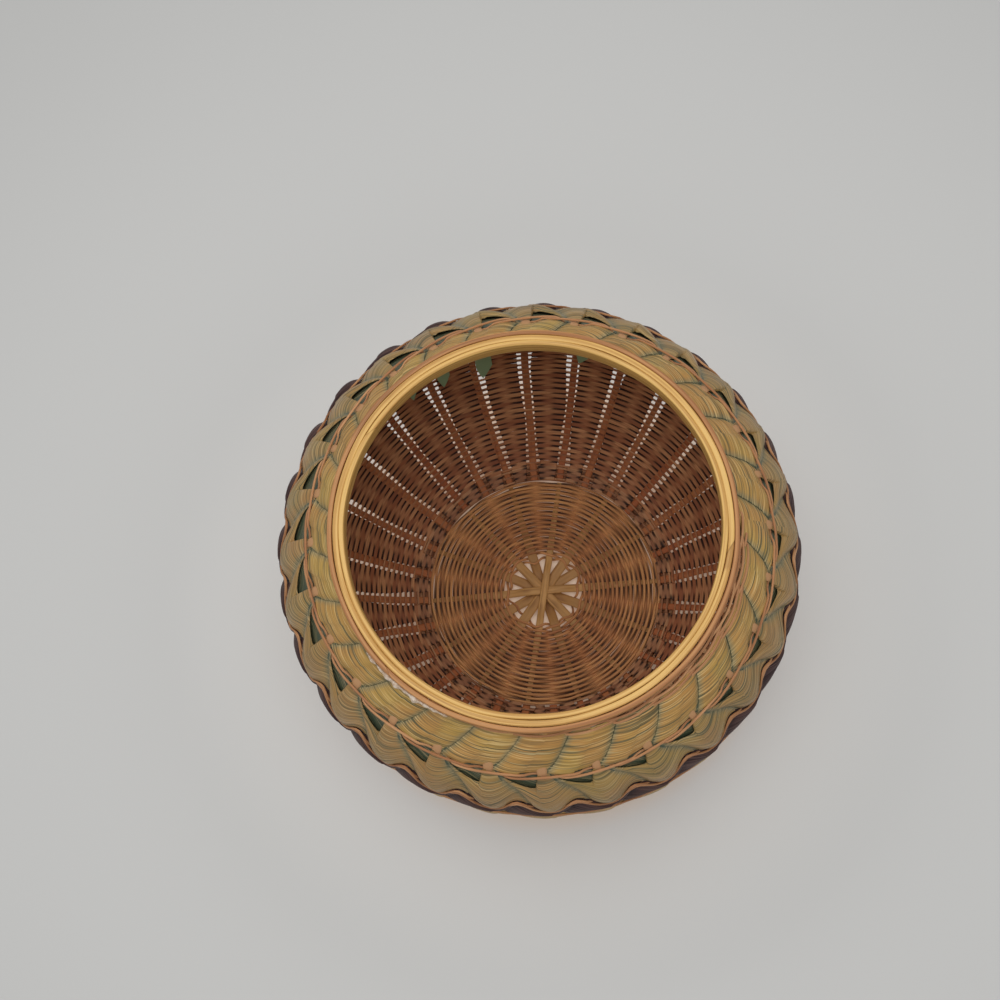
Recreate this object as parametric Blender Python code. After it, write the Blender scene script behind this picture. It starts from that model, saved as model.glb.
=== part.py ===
"""Onion basket of split bamboo: a spoked woven base, side stakes, and rows of twined wide strips.

Sizes are in metres and +Z is up. The origin lies on the floor, on the basket's axis, and the
first base stick runs along X, with a side stake at each of its ends and at each end of the others.
Heights are above the floor. Radii are from the axis to the middle of the wall, where the side
stakes run. A cell is the stretch of wall from one side stake to the next, counted from the stake
on the X axis, counter-clockwise from above.
"""

from math import cos, hypot, pi, radians, sin, tau

import bmesh
import bpy
import numpy as np

MM = 0.001

# Fits
CLEARANCE = 0.3 * MM  # free space between two pieces that lie against each other
STRIP_CLEARANCE = 0.6 * MM  # between a wide strip and the stake that it passes
OVERRUN = 1.0 * MM  # how far a cutting shape runs past what it cuts

# Base sticks: flat, crossed at the centre, each in the layer given here, counted from the bottom
STICK_LAYERS = (5, 2, 3, 6, 0, 4, 1)
STICK_WIDTH = 4.2 * MM
STICK_THICKNESS = 0.7 * MM
STICK_GRIP = 4.2 * MM  # how deep a stick's tip sits in the foot
CROSSING_FLOOR_GAP = 0.65 * MM  # under the lowest stick, where they cross

# Woven base
BASE_RADIUS = 61.5 * MM
BASE_HOLE_RADIUS = 20.0 * MM
BASE_THICKNESS = 2.8 * MM

# Side stakes and the strands woven round them
STAKES_PER_STICK = 4
STAKE_WIDTH = 2.4 * MM
STAKE_THICKNESS = 1.2 * MM
STRAND_THICKNESS = 1.5 * MM
TWINE_THICKNESS = 1.2 * MM
TWINE_HEIGHT = 2.6 * MM

# Foot: the thick wale that turns the stakes up
FOOT_WIDTH = 6.7 * MM  # of its flat underside
FOOT_INNER_WALL = 1.2 * MM  # between the base and the stakes' lower ends
FOOT_WEB = 0.6 * MM  # between a stick's tip and the stake's end above it

# The wall's curve: radius of its middle, some as shares of the belly's, and rise above the station below
BELLY_RADIUS = 123.3 * MM
TURN_SPREAD = 6.7 * MM
TURN_RISE = 5.5 * MM
BOWL_SHARE = 0.787
BOWL_RISE = 18.5 * MM
FLANK_SHARE = 0.949
FLANK_RISE = 20.0 * MM
BELLY_RISE = 40.0 * MM
SHOULDER_SHARE = 0.968
SHOULDER_RISE = 33.0 * MM
THROAT_SHARE = 0.862
THROAT_RISE = 20.7 * MM
NECK_FLARE = 2.5 * MM
NECK_RISE = 13.3 * MM
TWIST = radians(-2.6)  # how far the wall has turned at the throat, from nothing at the flank

# Rows of wide strips, between the fine wall weave and the neck
WALL_WEAVE_LAP = 10.0 * MM  # of the fine weave above the flank
LOWER_ROWS = 3  # rows between the fine weave and the shoulder
STRIP_THICKNESS = 0.5 * MM
CROSSING_SAG = 0.7 * MM  # how far two strips are drawn in where they cross
CROSSING_SHARES = (0.25, 0.48)  # of a cell, from a stake to where the strips cross
EDGE_SHARES = (0.35, 0.8)  # how far across the row the edge between them has come there
LEAN_DROP = 3.4 * MM  # how far the row lines sink on the basket's low side
LEAN_SHARES = (0.0, 0.15, 0.35, 0.6, 1.0, 0.0)  # of that drop, at each row line from the bottom
LOW_SIDE = radians(-48)  # the middle of the low side

# Neck weave: a wedge of fine strands that fills the low side under the rim
NECK_WEAVE_HEIGHT = 8.0 * MM
NECK_WEAVE_FIRST_CELL = -10
NECK_WEAVE_SHARES = (0.1, 0.15, 0.2, 0.35, 0.5, 0.7, 0.88, 1.0, 1.0, 0.85, 0.2)  # of it, cell by cell

# Rim: an inner hoop, an outer hoop and a filler hoop over the stakes' tips
RIM_INNER_RADIUS = 84.2 * MM
RIM_RISE = 8.5 * MM  # of the rim's top above the neck
INNER_HOOP_THICKNESS = 2.3 * MM
INNER_HOOP_HEIGHT = 9.0 * MM
FILLER_WIDTH = 2.6 * MM
FILLER_HEIGHT = 4.0 * MM
OUTER_HOOP_THICKNESS = 2.4 * MM
OUTER_HOOP_STEP = 0.7 * MM  # of its top below the rim's
HOOP_SIDES = 42
SCARF_LENGTH = 6.0 * MM  # of the slanted joint where a hoop's ends meet
INNER_SEAM_SIDE = 17  # where that joint is, counted in sides from the first base stick
FILLER_SEAM_SIDE = -2
OUTER_SEAM_SIDE = 26

# Sizes worked out from those above
STICK_COUNT = len(STICK_LAYERS)
STAKE_COUNT = STAKES_PER_STICK * STICK_COUNT
CELL = tau / STAKE_COUNT
STICK_PITCH = STICK_THICKNESS + CLEARANCE
BASE_LEVEL = CROSSING_FLOOR_GAP + (STICK_COUNT - 1) / 2 * STICK_PITCH + STICK_THICKNESS / 2
WEAVE_HALF = STAKE_THICKNESS / 2 + CLEARANCE + STRAND_THICKNESS
TWINE_HALF = STAKE_THICKNESS / 2 + CLEARANCE + TWINE_THICKNESS
FOOT_INNER_RADIUS = BASE_RADIUS + CLEARANCE
FOOT_LINE_RADIUS = FOOT_INNER_RADIUS + FOOT_INNER_WALL + CLEARANCE
FILLER_INNER_RADIUS = RIM_INNER_RADIUS + INNER_HOOP_THICKNESS + CLEARANCE
OUTER_HOOP_RADIUS = FILLER_INNER_RADIUS + FILLER_WIDTH + CLEARANCE
TIP_RADIUS = FILLER_INNER_RADIUS + FILLER_WIDTH / 2
STICK_ROOM_HALF = STICK_THICKNESS / 2 + CLEARANCE
STAKE_ROOM_HALF = STAKE_THICKNESS / 2 + CLEARANCE
STAKE_END_HEIGHT = BASE_LEVEL + STICK_ROOM_HALF + FOOT_WEB + STAKE_ROOM_HALF
TURN_HEIGHT = BASE_LEVEL + TURN_RISE
BOWL_HEIGHT = TURN_HEIGHT + BOWL_RISE
FLANK_HEIGHT = BOWL_HEIGHT + FLANK_RISE
BELLY_HEIGHT = FLANK_HEIGHT + BELLY_RISE
SHOULDER_HEIGHT = BELLY_HEIGHT + SHOULDER_RISE
THROAT_HEIGHT = SHOULDER_HEIGHT + THROAT_RISE
NECK_HEIGHT = THROAT_HEIGHT + NECK_RISE
RIM_HEIGHT = NECK_HEIGHT + RIM_RISE
WALL_WEAVE_TOP = FLANK_HEIGHT + WALL_WEAVE_LAP
STATIONS = np.array(
    (
        (FOOT_LINE_RADIUS, STAKE_END_HEIGHT),
        (FOOT_LINE_RADIUS + TURN_SPREAD, TURN_HEIGHT),
        (BOWL_SHARE * BELLY_RADIUS, BOWL_HEIGHT),
        (FLANK_SHARE * BELLY_RADIUS, FLANK_HEIGHT),
        (BELLY_RADIUS, BELLY_HEIGHT),
        (SHOULDER_SHARE * BELLY_RADIUS, SHOULDER_HEIGHT),
        (THROAT_SHARE * BELLY_RADIUS, THROAT_HEIGHT),
        (TIP_RADIUS + NECK_FLARE, NECK_HEIGHT),
    )
)
STATIONS_BELOW_ROWS = 4
ROW_LINES = (
    *np.linspace(WALL_WEAVE_TOP, SHOULDER_HEIGHT, LOWER_ROWS + 1),
    THROAT_HEIGHT,
    NECK_HEIGHT,
)
ROW_COUNT = len(ROW_LINES) - 1

SMOOTH_ANGLE = radians(30)  # edges that turn less than this are shaded smooth

# Finishes: colour, and roughness
GOLDEN = ((0.66, 0.40, 0.13), 0.45)
TAN = ((0.47, 0.24, 0.10), 0.55)
OLIVE = ((0.30, 0.25, 0.09), 0.5)
PURPLE = ((0.07, 0.04, 0.05), 0.5)
RED_BROWN = ((0.19, 0.05, 0.02), 0.6)
BROWN = ((0.16, 0.06, 0.03), 0.6)
BASE_BROWN = ((0.20, 0.09, 0.04), 0.6)
STICK_BROWN = ((0.24, 0.13, 0.05), 0.6)
ROW_FINISHES = (OLIVE, OLIVE, PURPLE, OLIVE, OLIVE)


def clear_scene():
    for obj in list(bpy.data.objects):
        bpy.data.objects.remove(obj)


def bamboo(name, finish):
    """A material of this name with the finish's colour and roughness."""
    colour, roughness = finish
    material = bpy.data.materials.new(name)
    material.use_nodes = True
    shader = material.node_tree.nodes["Principled BSDF"]
    shader.inputs["Base Color"].default_value = (*colour, 1.0)
    shader.inputs["Roughness"].default_value = roughness
    shader.inputs["Metallic"].default_value = 0.0
    return material


def make_object(name, points, faces, finish=None):
    """A named object of triangles facing out. Without a finish it is a cutting shape."""
    mesh = bpy.data.meshes.new(name)
    mesh.from_pydata(points, [], faces)
    shape = bmesh.new()
    shape.from_mesh(mesh)
    bmesh.ops.recalc_face_normals(shape, faces=shape.faces)
    bmesh.ops.triangulate(shape, faces=shape.faces)
    shape.to_mesh(mesh)
    shape.free()
    mesh.shade_smooth()
    mesh.set_sharp_from_angle(angle=SMOOTH_ANGLE)
    obj = bpy.data.objects.new(name, mesh)
    bpy.context.scene.collection.objects.link(obj)
    if finish is None:
        obj.hide_render = True
        obj.display_type = "WIRE"
    else:
        mesh.materials.append(bamboo(name, finish))
    return obj


def sweep_faces(sections, corners, closed, first=0):
    """Faces that join equal cross-sections in a row, as a closed ring or with two end faces."""
    faces = []
    for i in range(sections if closed else sections - 1):
        here = first + i * corners
        there = first + (i + 1) % sections * corners
        for j in range(corners):
            k = (j + 1) % corners
            faces.append((here + j, here + k, there + k, there + j))
    if not closed:
        last = first + (sections - 1) * corners
        faces.append(tuple(range(first, first + corners)))
        faces.append(tuple(range(last, last + corners)))
    return faces


def sweep(name, sections, closed, finish):
    """A solid through cross-sections that each have the same number of corners."""
    points = [corner for section in sections for corner in section]
    return make_object(name, points, sweep_faces(len(sections), len(sections[0]), closed), finish)


def joined_sweeps(name, sweeps):
    """One cutting shape that holds several separate capped sweeps."""
    points = []
    faces = []
    for sections in sweeps:
        faces += sweep_faces(len(sections), len(sections[0]), False, len(points))
        points += [corner for section in sections for corner in section]
    return make_object(name, points, faces)


def cut(obj, cutter):
    """Takes the cutter's shape out of the object."""
    modifier = obj.modifiers.new(f"without {cutter.name}", "BOOLEAN")
    modifier.operation = "DIFFERENCE"
    modifier.solver = "EXACT"
    modifier.object = cutter


def spot(azimuth, radius, height, across=0.0):
    """The point at this azimuth, radius and height, moved across the radius, counter-clockwise.

    The azimuth is that of the untwisted wall.
    """
    azimuth += TWIST * min(max((height - FLANK_HEIGHT) / (THROAT_HEIGHT - FLANK_HEIGHT), 0.0), 1.0)
    return (
        radius * cos(azimuth) - across * sin(azimuth),
        radius * sin(azimuth) + across * cos(azimuth),
        height,
    )


def wall_radius(height):
    """Radius of the wall's middle: a cubic through the stations, with slopes taken from their neighbours."""
    radii, heights = STATIONS.T
    slopes = np.gradient(radii, heights)
    i = int(np.clip(np.searchsorted(heights, height) - 1, 0, len(heights) - 2))
    step = heights[i + 1] - heights[i]
    t = (height - heights[i]) / step
    return (
        (1 + 2 * t) * (1 - t) ** 2 * radii[i]
        + t**2 * (3 - 2 * t) * radii[i + 1]
        + step * t * (1 - t) ** 2 * slopes[i]
        - step * t**2 * (1 - t) * slopes[i + 1]
    )


def row_line(index, azimuth):
    """Radius and height of a row line, which sinks a little towards the basket's low side."""
    height = ROW_LINES[index] - LEAN_DROP * LEAN_SHARES[index] * cos(azimuth - LOW_SIDE)
    return wall_radius(height), height


def directions(low, high):
    """The direction of a piece of the wall's line, and its outward normal."""
    along = (high - low) / np.linalg.norm(high - low)
    return along, np.array((along[1], -along[0]))


def segment(azimuth, row):
    """One row's wall at an azimuth: its two ends, its direction upwards, and its outward normal."""
    low = np.array(row_line(row, azimuth))
    high = np.array(row_line(row + 1, azimuth))
    return low, high, *directions(low, high)


def rim_foot_height():
    """Height of the outer hoop's lower edge, clear of the neck weave's upper corner."""
    _, high, _, normal = segment(LOW_SIDE, ROW_COUNT - 1)
    return high[1] + normal[1] * TWINE_HALF + CLEARANCE


def stake_line(azimuth):
    """Radius and height of each bend in a side stake, from its end in the foot to its tip in the rim."""
    line = [tuple(station) for station in STATIONS[:STATIONS_BELOW_ROWS]]
    line += [row_line(index, azimuth) for index in range(ROW_COUNT + 1)]
    line += [(TIP_RADIUS, rim_foot_height()), (TIP_RADIUS, RIM_HEIGHT - FILLER_HEIGHT - CLEARANCE)]
    return np.array(line)


def beside(line, distance):
    """The line moved outwards by this distance, with mitred bends."""
    steps = np.diff(line, axis=0)
    steps /= np.linalg.norm(steps, axis=1)[:, None]
    normals = np.column_stack((steps[:, 1], -steps[:, 0]))
    before = np.vstack((normals[:1], normals))
    after = np.vstack((normals, normals[-1:]))
    mitres = (before + after) / (1 + (before * after).sum(axis=1))[:, None]
    return line + distance * mitres


def longer(line, extra):
    """The line with both of its ends moved out by this length."""
    line = line.copy()
    for end, inner in ((0, 1), (-1, -2)):
        step = line[end] - line[inner]
        line[end] += step * extra / hypot(*step)
    return line


def stake_sections(azimuth, spare):
    """Cross-sections of a side stake, larger by the spare length on every side."""
    line = longer(stake_line(azimuth), spare)
    half_width = STAKE_WIDTH / 2 + spare
    outer = beside(line, STAKE_THICKNESS / 2 + spare)
    inner = beside(line, -STAKE_THICKNESS / 2 - spare)
    return [
        (
            spot(azimuth, *out, -half_width),
            spot(azimuth, *out, half_width),
            spot(azimuth, *into, half_width),
            spot(azimuth, *into, -half_width),
        )
        for out, into in zip(outer, inner)
    ]


def stake_azimuth(index):
    return index * CELL


def make_stakes():
    for index in range(STAKE_COUNT):
        sections = stake_sections(stake_azimuth(index), 0.0)
        sweep(f"side_stake_{index + 1:02d}", sections, False, RED_BROWN)


def stake_room():
    """The shape that the stakes and their clearance take out of the woven pieces."""
    sweeps = [stake_sections(stake_azimuth(index), CLEARANCE) for index in range(STAKE_COUNT)]
    return joined_sweeps("stake_room", sweeps)


def bar_section(azimuth, radius, level, half_width, half_thickness):
    """Upright cross-section of a bar that runs out from the axis."""
    return (
        spot(azimuth, radius, level - half_thickness, -half_width),
        spot(azimuth, radius, level - half_thickness, half_width),
        spot(azimuth, radius, level + half_thickness, half_width),
        spot(azimuth, radius, level + half_thickness, -half_width),
    )


def make_sticks():
    """Flat sticks that lie in layers where they cross and come to one level before the woven base."""
    turn = pi / STICK_COUNT
    crossing_reach = STICK_WIDTH / 2 * (1 + cos(turn)) / sin(turn) + CLEARANCE
    level_reach = BASE_HOLE_RADIUS - OVERRUN
    tip_reach = FOOT_INNER_RADIUS + STICK_GRIP
    for index, layer in enumerate(STICK_LAYERS):
        crossing_level = BASE_LEVEL + (layer - (STICK_COUNT - 1) / 2) * STICK_PITCH
        half = (
            (crossing_reach, crossing_level),
            (level_reach, BASE_LEVEL),
            (tip_reach, BASE_LEVEL),
        )
        run = [(-reach, level) for reach, level in reversed(half)] + list(half)
        sections = [
            bar_section(index * turn, reach, level, STICK_WIDTH / 2, STICK_THICKNESS / 2)
            for reach, level in run
        ]
        sweep(f"base_stick_{index + 1}", sections, False, STICK_BROWN)


def stick_room():
    """The shape that the sticks' straight ends and their clearance take out of the woven pieces."""
    half_width = STICK_WIDTH / 2 + CLEARANCE
    half_thickness = STICK_ROOM_HALF
    reaches = (BASE_HOLE_RADIUS - OVERRUN, FOOT_INNER_RADIUS + STICK_GRIP + CLEARANCE)
    sweeps = [
        [
            bar_section(end * pi / STICK_COUNT, reach, BASE_LEVEL, half_width, half_thickness)
            for reach in reaches
        ]
        for end in range(2 * STICK_COUNT)
    ]
    return joined_sweeps("stick_room", sweeps)


def side_spots(azimuth, corners, turn):
    """Corners on a many-sided ring, turned from the middle of a side, where the radius is the true one."""
    return [spot(azimuth, radius / cos(turn), height) for radius, height in corners]


def make_cell_ring(name, section_at, finish):
    """A ring with one side to each cell, whose cross-section may change round the basket."""
    azimuths = [(index + 0.5) * CELL for index in range(STAKE_COUNT)]
    sections = [side_spots(azimuth, section_at(azimuth), CELL / 2) for azimuth in azimuths]
    return sweep(name, sections, True, finish)


def make_woven_ring(name, section_at, thickness, finish):
    """A ring of strands of this thickness, woven or twined round the stakes.

    It is thick at each stake, where strands pass in front and behind, and one strand thick between.
    """
    half_at_stake = STAKE_THICKNESS / 2 + CLEARANCE + thickness
    sections = []
    for index in range(STAKE_COUNT):
        azimuth = stake_azimuth(index)
        sections.append(side_spots(azimuth, section_at(azimuth, half_at_stake), 0.0))
        azimuth += CELL / 2
        sections.append(side_spots(azimuth, section_at(azimuth, thickness / 2), CELL / 2))
    return sweep(name, sections, True, finish)


def make_base_weave(sticks):
    low = BASE_LEVEL - BASE_THICKNESS / 2
    high = BASE_LEVEL + BASE_THICKNESS / 2
    section = (
        (BASE_HOLE_RADIUS, low),
        (BASE_RADIUS, low),
        (BASE_RADIUS, high),
        (BASE_HOLE_RADIUS, high),
    )
    cut(make_cell_ring("base_weave", lambda azimuth: section, BASE_BROWN), sticks)


def make_foot_wale(sticks, stakes):
    """The wale round the base's edge, flat underneath, with its top square to the wall weave."""
    _, turn, bowl = STATIONS[:3]
    along, normal = directions(turn, bowl)
    outer = turn + normal * WEAVE_HALF
    inner = turn - normal * WEAVE_HALF
    shelf = inner + along * (FOOT_INNER_RADIUS - inner[0]) / along[0]
    section = (
        (FOOT_INNER_RADIUS, 0.0),
        (FOOT_INNER_RADIUS + FOOT_WIDTH, 0.0),
        tuple(outer),
        tuple(inner),
        tuple(shelf),
    )
    foot = make_cell_ring("foot_wale", lambda azimuth: section, BROWN)
    cut(foot, sticks)
    cut(foot, stakes)


def make_wall_weave(stakes):
    """The fine weave of the lower wall, from the foot to the first row line, square to the strips."""

    def section_at(azimuth, half):
        line = stake_line(azimuth)[1 : STATIONS_BELOW_ROWS + 1]
        along, _ = directions(line[0], line[1])
        line[0] += along * CLEARANCE
        outer = beside(line, half)
        inner = beside(line, -half)
        top, _, _, normal = segment(azimuth, 0)
        outer[-1] = top + normal * half
        inner[-1] = top - normal * half
        return [*outer, *inner[::-1]]

    cut(make_woven_ring("wall_weave", section_at, STRAND_THICKNESS, BROWN), stakes)


def strip_margins(azimuth, row):
    """Free lengths that a row's strips leave at its lower and its upper row line."""
    beside_twine = TWINE_HEIGHT / 2 + CLEARANCE
    lower = CLEARANCE if row == 0 else beside_twine
    upper = neck_weave_height(azimuth) + CLEARANCE if row == ROW_COUNT - 1 else beside_twine
    return lower, upper


def strip_section(stake, share, row, half, edge, offset):
    """Cross-section of a strip, at a share of a cell past a stake.

    Half is -1, 0 or 1 for the strip's part below the edge, all of it or its part above the edge,
    which is given as a share of its width.
    """
    turn = share * CELL
    azimuth = stake_azimuth(stake) + turn
    low, high, along, normal = segment(azimuth, row)
    lower_margin, upper_margin = strip_margins(azimuth, row)
    start = lower_margin
    stop = np.linalg.norm(high - low) - upper_margin
    meeting = start + edge * (stop - start)
    if half > 0:
        start = meeting + CLEARANCE
    if half < 0:
        stop = meeting - CLEARANCE
    inner = offset - STRIP_THICKNESS / 2
    outer = offset + STRIP_THICKNESS / 2
    corners = ((start, inner), (start, outer), (stop, outer), (stop, inner))
    return side_spots(azimuth, [low + up * along + out * normal for up, out in corners], turn)


def make_strip(name, row, first_in_front, lean, finish):
    """A wide strip that passes in front of one stake and behind the next.

    Between the stakes it crosses its partner, and the two share the row's width there. Lean is 1
    where the edge between them rises to the right, and -1 where it falls.
    """
    beside_stake = STAKE_THICKNESS / 2 + STRIP_CLEARANCE + STRIP_THICKNESS / 2
    beside_partner = STRIP_THICKNESS / 2 + CLEARANCE / 2
    sections = []
    for index in range(STAKE_COUNT):
        side = 1 if (index % 2 == 0) == first_in_front else -1
        sections.append(strip_section(index, 0, row, 0, 0, side * beside_stake))
        for share, edge, depth in zip(CROSSING_SHARES, EDGE_SHARES, (side, -side)):
            drawn_in = depth * beside_partner - CROSSING_SAG
            height_share = edge if lean > 0 else 1 - edge
            sections.append(strip_section(index, share, row, side * lean, height_share, drawn_in))
    sweep(name, sections, True, finish)


def make_strip_rows():
    """The rows are numbered from the rim down, as they are seen from above."""
    for number, finish in enumerate(ROW_FINISHES, start=1):
        row = ROW_COUNT - number
        lean = 1 if number % 2 else -1
        make_strip(f"strip_row_{number}_a", row, True, lean, finish)
        make_strip(f"strip_row_{number}_b", row, False, lean, finish)


def make_twine_bands(stakes):
    """Twined pairs of thin strands on the row lines between two rows of strips."""
    for number in range(1, ROW_COUNT):
        line = ROW_COUNT - number

        def section_at(azimuth, half):
            _, middle, below, below_normal = segment(azimuth, line - 1)
            _, _, above, above_normal = segment(azimuth, line)
            lower = middle - below * TWINE_HEIGHT / 2
            upper = middle + above * TWINE_HEIGHT / 2
            return (
                lower - below_normal * half,
                lower + below_normal * half,
                upper + above_normal * half,
                upper - above_normal * half,
            )

        cut(make_woven_ring(f"twine_band_{number}", section_at, TWINE_THICKNESS, TAN), stakes)


def neck_weave_height(azimuth):
    """Height of the neck weave up the wall, which changes evenly across each cell."""
    shares = (0.0, *NECK_WEAVE_SHARES, 0.0)
    place = (azimuth / CELL - 0.5 - (NECK_WEAVE_FIRST_CELL - 1)) % STAKE_COUNT
    return NECK_WEAVE_HEIGHT * np.interp(place, range(len(shares)), shares)


def make_neck_weave(stakes):
    sections = []
    for index in range(len(NECK_WEAVE_SHARES)):
        azimuth = (NECK_WEAVE_FIRST_CELL + index + 0.5) * CELL
        _, upper, along, normal = segment(azimuth, ROW_COUNT - 1)
        lower = upper - along * neck_weave_height(azimuth)
        corners = (
            lower - normal * TWINE_HALF,
            lower + normal * TWINE_HALF,
            upper + normal * TWINE_HALF,
            upper - normal * TWINE_HALF,
        )
        sections.append(side_spots(azimuth, corners, CELL / 2))
    cut(sweep("neck_weave", sections, False, TAN), stakes)


def make_hoop(name, inner_radius, thickness, low, high, seam_side, finish):
    """A bent hoop whose two ends meet in a slanted joint."""
    outer_radius = inner_radius + thickness
    inner_edge = ((inner_radius, low), (inner_radius, high))
    outer_edge = ((outer_radius, low), (outer_radius, high))
    seam = seam_side * tau / HOOP_SIDES
    gap = CLEARANCE / inner_radius
    half_side = pi / HOOP_SIDES
    sections = []
    for index in range(HOOP_SIDES + 1):
        azimuth = seam + index * (tau - gap) / HOOP_SIDES
        slant = SCARF_LENGTH / outer_radius if index in (0, HOOP_SIDES) else 0.0
        low_inner, high_inner = side_spots(azimuth, inner_edge, half_side)
        low_outer, high_outer = side_spots(azimuth + slant, outer_edge, half_side - slant)
        sections.append((low_inner, low_outer, high_outer, high_inner))
    sweep(name, sections, False, finish)


def make_rim():
    make_hoop(
        "rim_inner_hoop",
        RIM_INNER_RADIUS,
        INNER_HOOP_THICKNESS,
        RIM_HEIGHT - INNER_HOOP_HEIGHT,
        RIM_HEIGHT,
        INNER_SEAM_SIDE,
        GOLDEN,
    )
    make_hoop(
        "rim_filler_hoop",
        FILLER_INNER_RADIUS,
        FILLER_WIDTH,
        RIM_HEIGHT - FILLER_HEIGHT,
        RIM_HEIGHT,
        FILLER_SEAM_SIDE,
        GOLDEN,
    )
    make_hoop(
        "rim_outer_hoop",
        OUTER_HOOP_RADIUS,
        OUTER_HOOP_THICKNESS,
        rim_foot_height(),
        RIM_HEIGHT - OUTER_HOOP_STEP,
        OUTER_SEAM_SIDE,
        TAN,
    )


def main():
    clear_scene()
    stakes = stake_room()
    sticks = stick_room()
    make_sticks()
    make_stakes()
    make_base_weave(sticks)
    make_foot_wale(sticks, stakes)
    make_wall_weave(stakes)
    make_strip_rows()
    make_twine_bands(stakes)
    make_neck_weave(stakes)
    make_rim()


main()
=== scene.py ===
"""Looks of the onion basket: every woven strand, split strip, stake, stick and hoop as its own surface.

Sizes are in metres and +Z is up. The frame is that of the CAD solids: the origin lies on the floor,
on the basket's axis, and the first base stick runs along X. A cell is the stretch of wall from one
side stake to the next, and a place round the basket is often given in cells.
"""

import logging
from dataclasses import dataclass, field
from enum import Enum
from math import cos, hypot, pi, radians, sin, tau

import bpy
import numpy as np
from mathutils import Matrix
from numpy.typing import NDArray

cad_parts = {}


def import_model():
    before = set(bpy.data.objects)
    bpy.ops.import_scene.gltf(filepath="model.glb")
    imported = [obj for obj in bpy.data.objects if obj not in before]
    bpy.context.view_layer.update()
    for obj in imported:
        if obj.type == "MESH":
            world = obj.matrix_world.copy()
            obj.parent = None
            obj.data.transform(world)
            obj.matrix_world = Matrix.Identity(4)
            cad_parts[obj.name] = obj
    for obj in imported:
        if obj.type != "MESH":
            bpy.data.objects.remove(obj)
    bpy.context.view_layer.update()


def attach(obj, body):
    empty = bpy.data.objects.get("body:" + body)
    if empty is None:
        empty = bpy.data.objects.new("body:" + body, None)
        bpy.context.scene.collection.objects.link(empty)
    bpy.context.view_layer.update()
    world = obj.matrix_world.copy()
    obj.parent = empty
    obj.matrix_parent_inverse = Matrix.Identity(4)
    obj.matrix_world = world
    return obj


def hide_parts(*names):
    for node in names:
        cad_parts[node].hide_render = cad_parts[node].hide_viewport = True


Array = NDArray[np.float64]
Colour = tuple[float, float, float]

MM = 0.001
STAKE_COUNT = 28
CELL = tau / STAKE_COUNT

log = logging.getLogger("onion_basket")


class Slot(Enum):
    """The record's material slots."""

    GOLDEN = "golden_bamboo"
    TAN = "tan_bamboo"
    OLIVE = "olive_bamboo"
    PURPLE = "purple_bamboo"
    RED_BROWN = "red_brown_bamboo"
    BROWN = "brown_bamboo"
    BASE = "base_bamboo"
    STICK = "stick_bamboo"


class Slant(Enum):
    """Which way the creases between a row's strips run, seen from outside."""

    RISING = 1
    FALLING = -1


# Shapes


def smooth(value: Array, start: float, stop: float) -> Array:
    """A smooth step.

    Args:
        value: where to read it.
        start: the value up to which it is 0.
        stop: the value from which it is 1.

    Returns:
        3t² − 2t³, where t runs from 0 to 1 between start and stop.
    """
    t = np.clip((value - start) / (stop - start), 0.0, 1.0)
    return t * t * (3.0 - 2.0 * t)


def ripple(azimuth: Array, count: int, waves: tuple[int, ...], seed: int) -> Array:
    """Smooth unevenness round the basket, one row for each strand.

    Args:
        azimuth: where to read it, one row for all strands or one for each.
        count: number of strands.
        waves: whole numbers of waves round the basket, so that a closed ring meets itself.
        seed: of the random phases.

    Returns:
        The sum of cosines of those waves with random phases, divided by the root of their number.
    """
    phases = np.random.default_rng(seed).uniform(0.0, tau, (count, len(waves), 1))
    numbers = np.array(waves)[None, :, None]
    return np.cos(numbers * np.atleast_2d(azimuth)[:, None] + phases).sum(axis=1) / np.sqrt(len(waves))


def woven_offset(place: Array, sharpness: float) -> Array:
    """How far a strand lies out of the stakes' line, from 1 in front to −1 behind.

    Args:
        place: place along the strand, in cells, 0 where it passes in front of a stake.
        sharpness: 1 for an even wave, more for one that is flat between the stakes.

    Returns:
        The cosine of half a turn for each cell, its size raised to the sharpness.
    """
    wave = np.cos(pi * place)
    return np.sign(wave) * np.abs(wave) ** sharpness


def rounded_section(corners: int, power: float) -> Array:
    """A closed section between an ellipse and a rectangle.

    Args:
        corners: number of its corners.
        power: 2 for an ellipse, more for a squarer form.

    Returns:
        Points (cos, sin) of equal turns, each coordinate's size raised to 2 / power.
    """
    turn = np.arange(corners) * tau / corners + (pi / corners if power > 2 else 0.0)
    wave = np.column_stack((np.cos(turn), np.sin(turn)))
    return np.sign(wave) * np.abs(wave) ** (2.0 / power)


def painted_crevice_shade(offset: Array, section: Array) -> Array:
    """The share of painted shade at each corner of a woven strand, by how deep it lies between its neighbours.

    Args:
        offset: how far the strand is out of the middle, from −1 to 1, of shape (strands, places).
        section: the strand's section, of shape (corners, 2), whose first size points outwards.

    Returns:
        Minus the offset times the corner's own outward share, where that is over 0; the colour is darkened by
        it as painted shade.
    """
    return np.clip(-offset[..., None] * section[:, 0], 0.0, 1.0)


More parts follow.
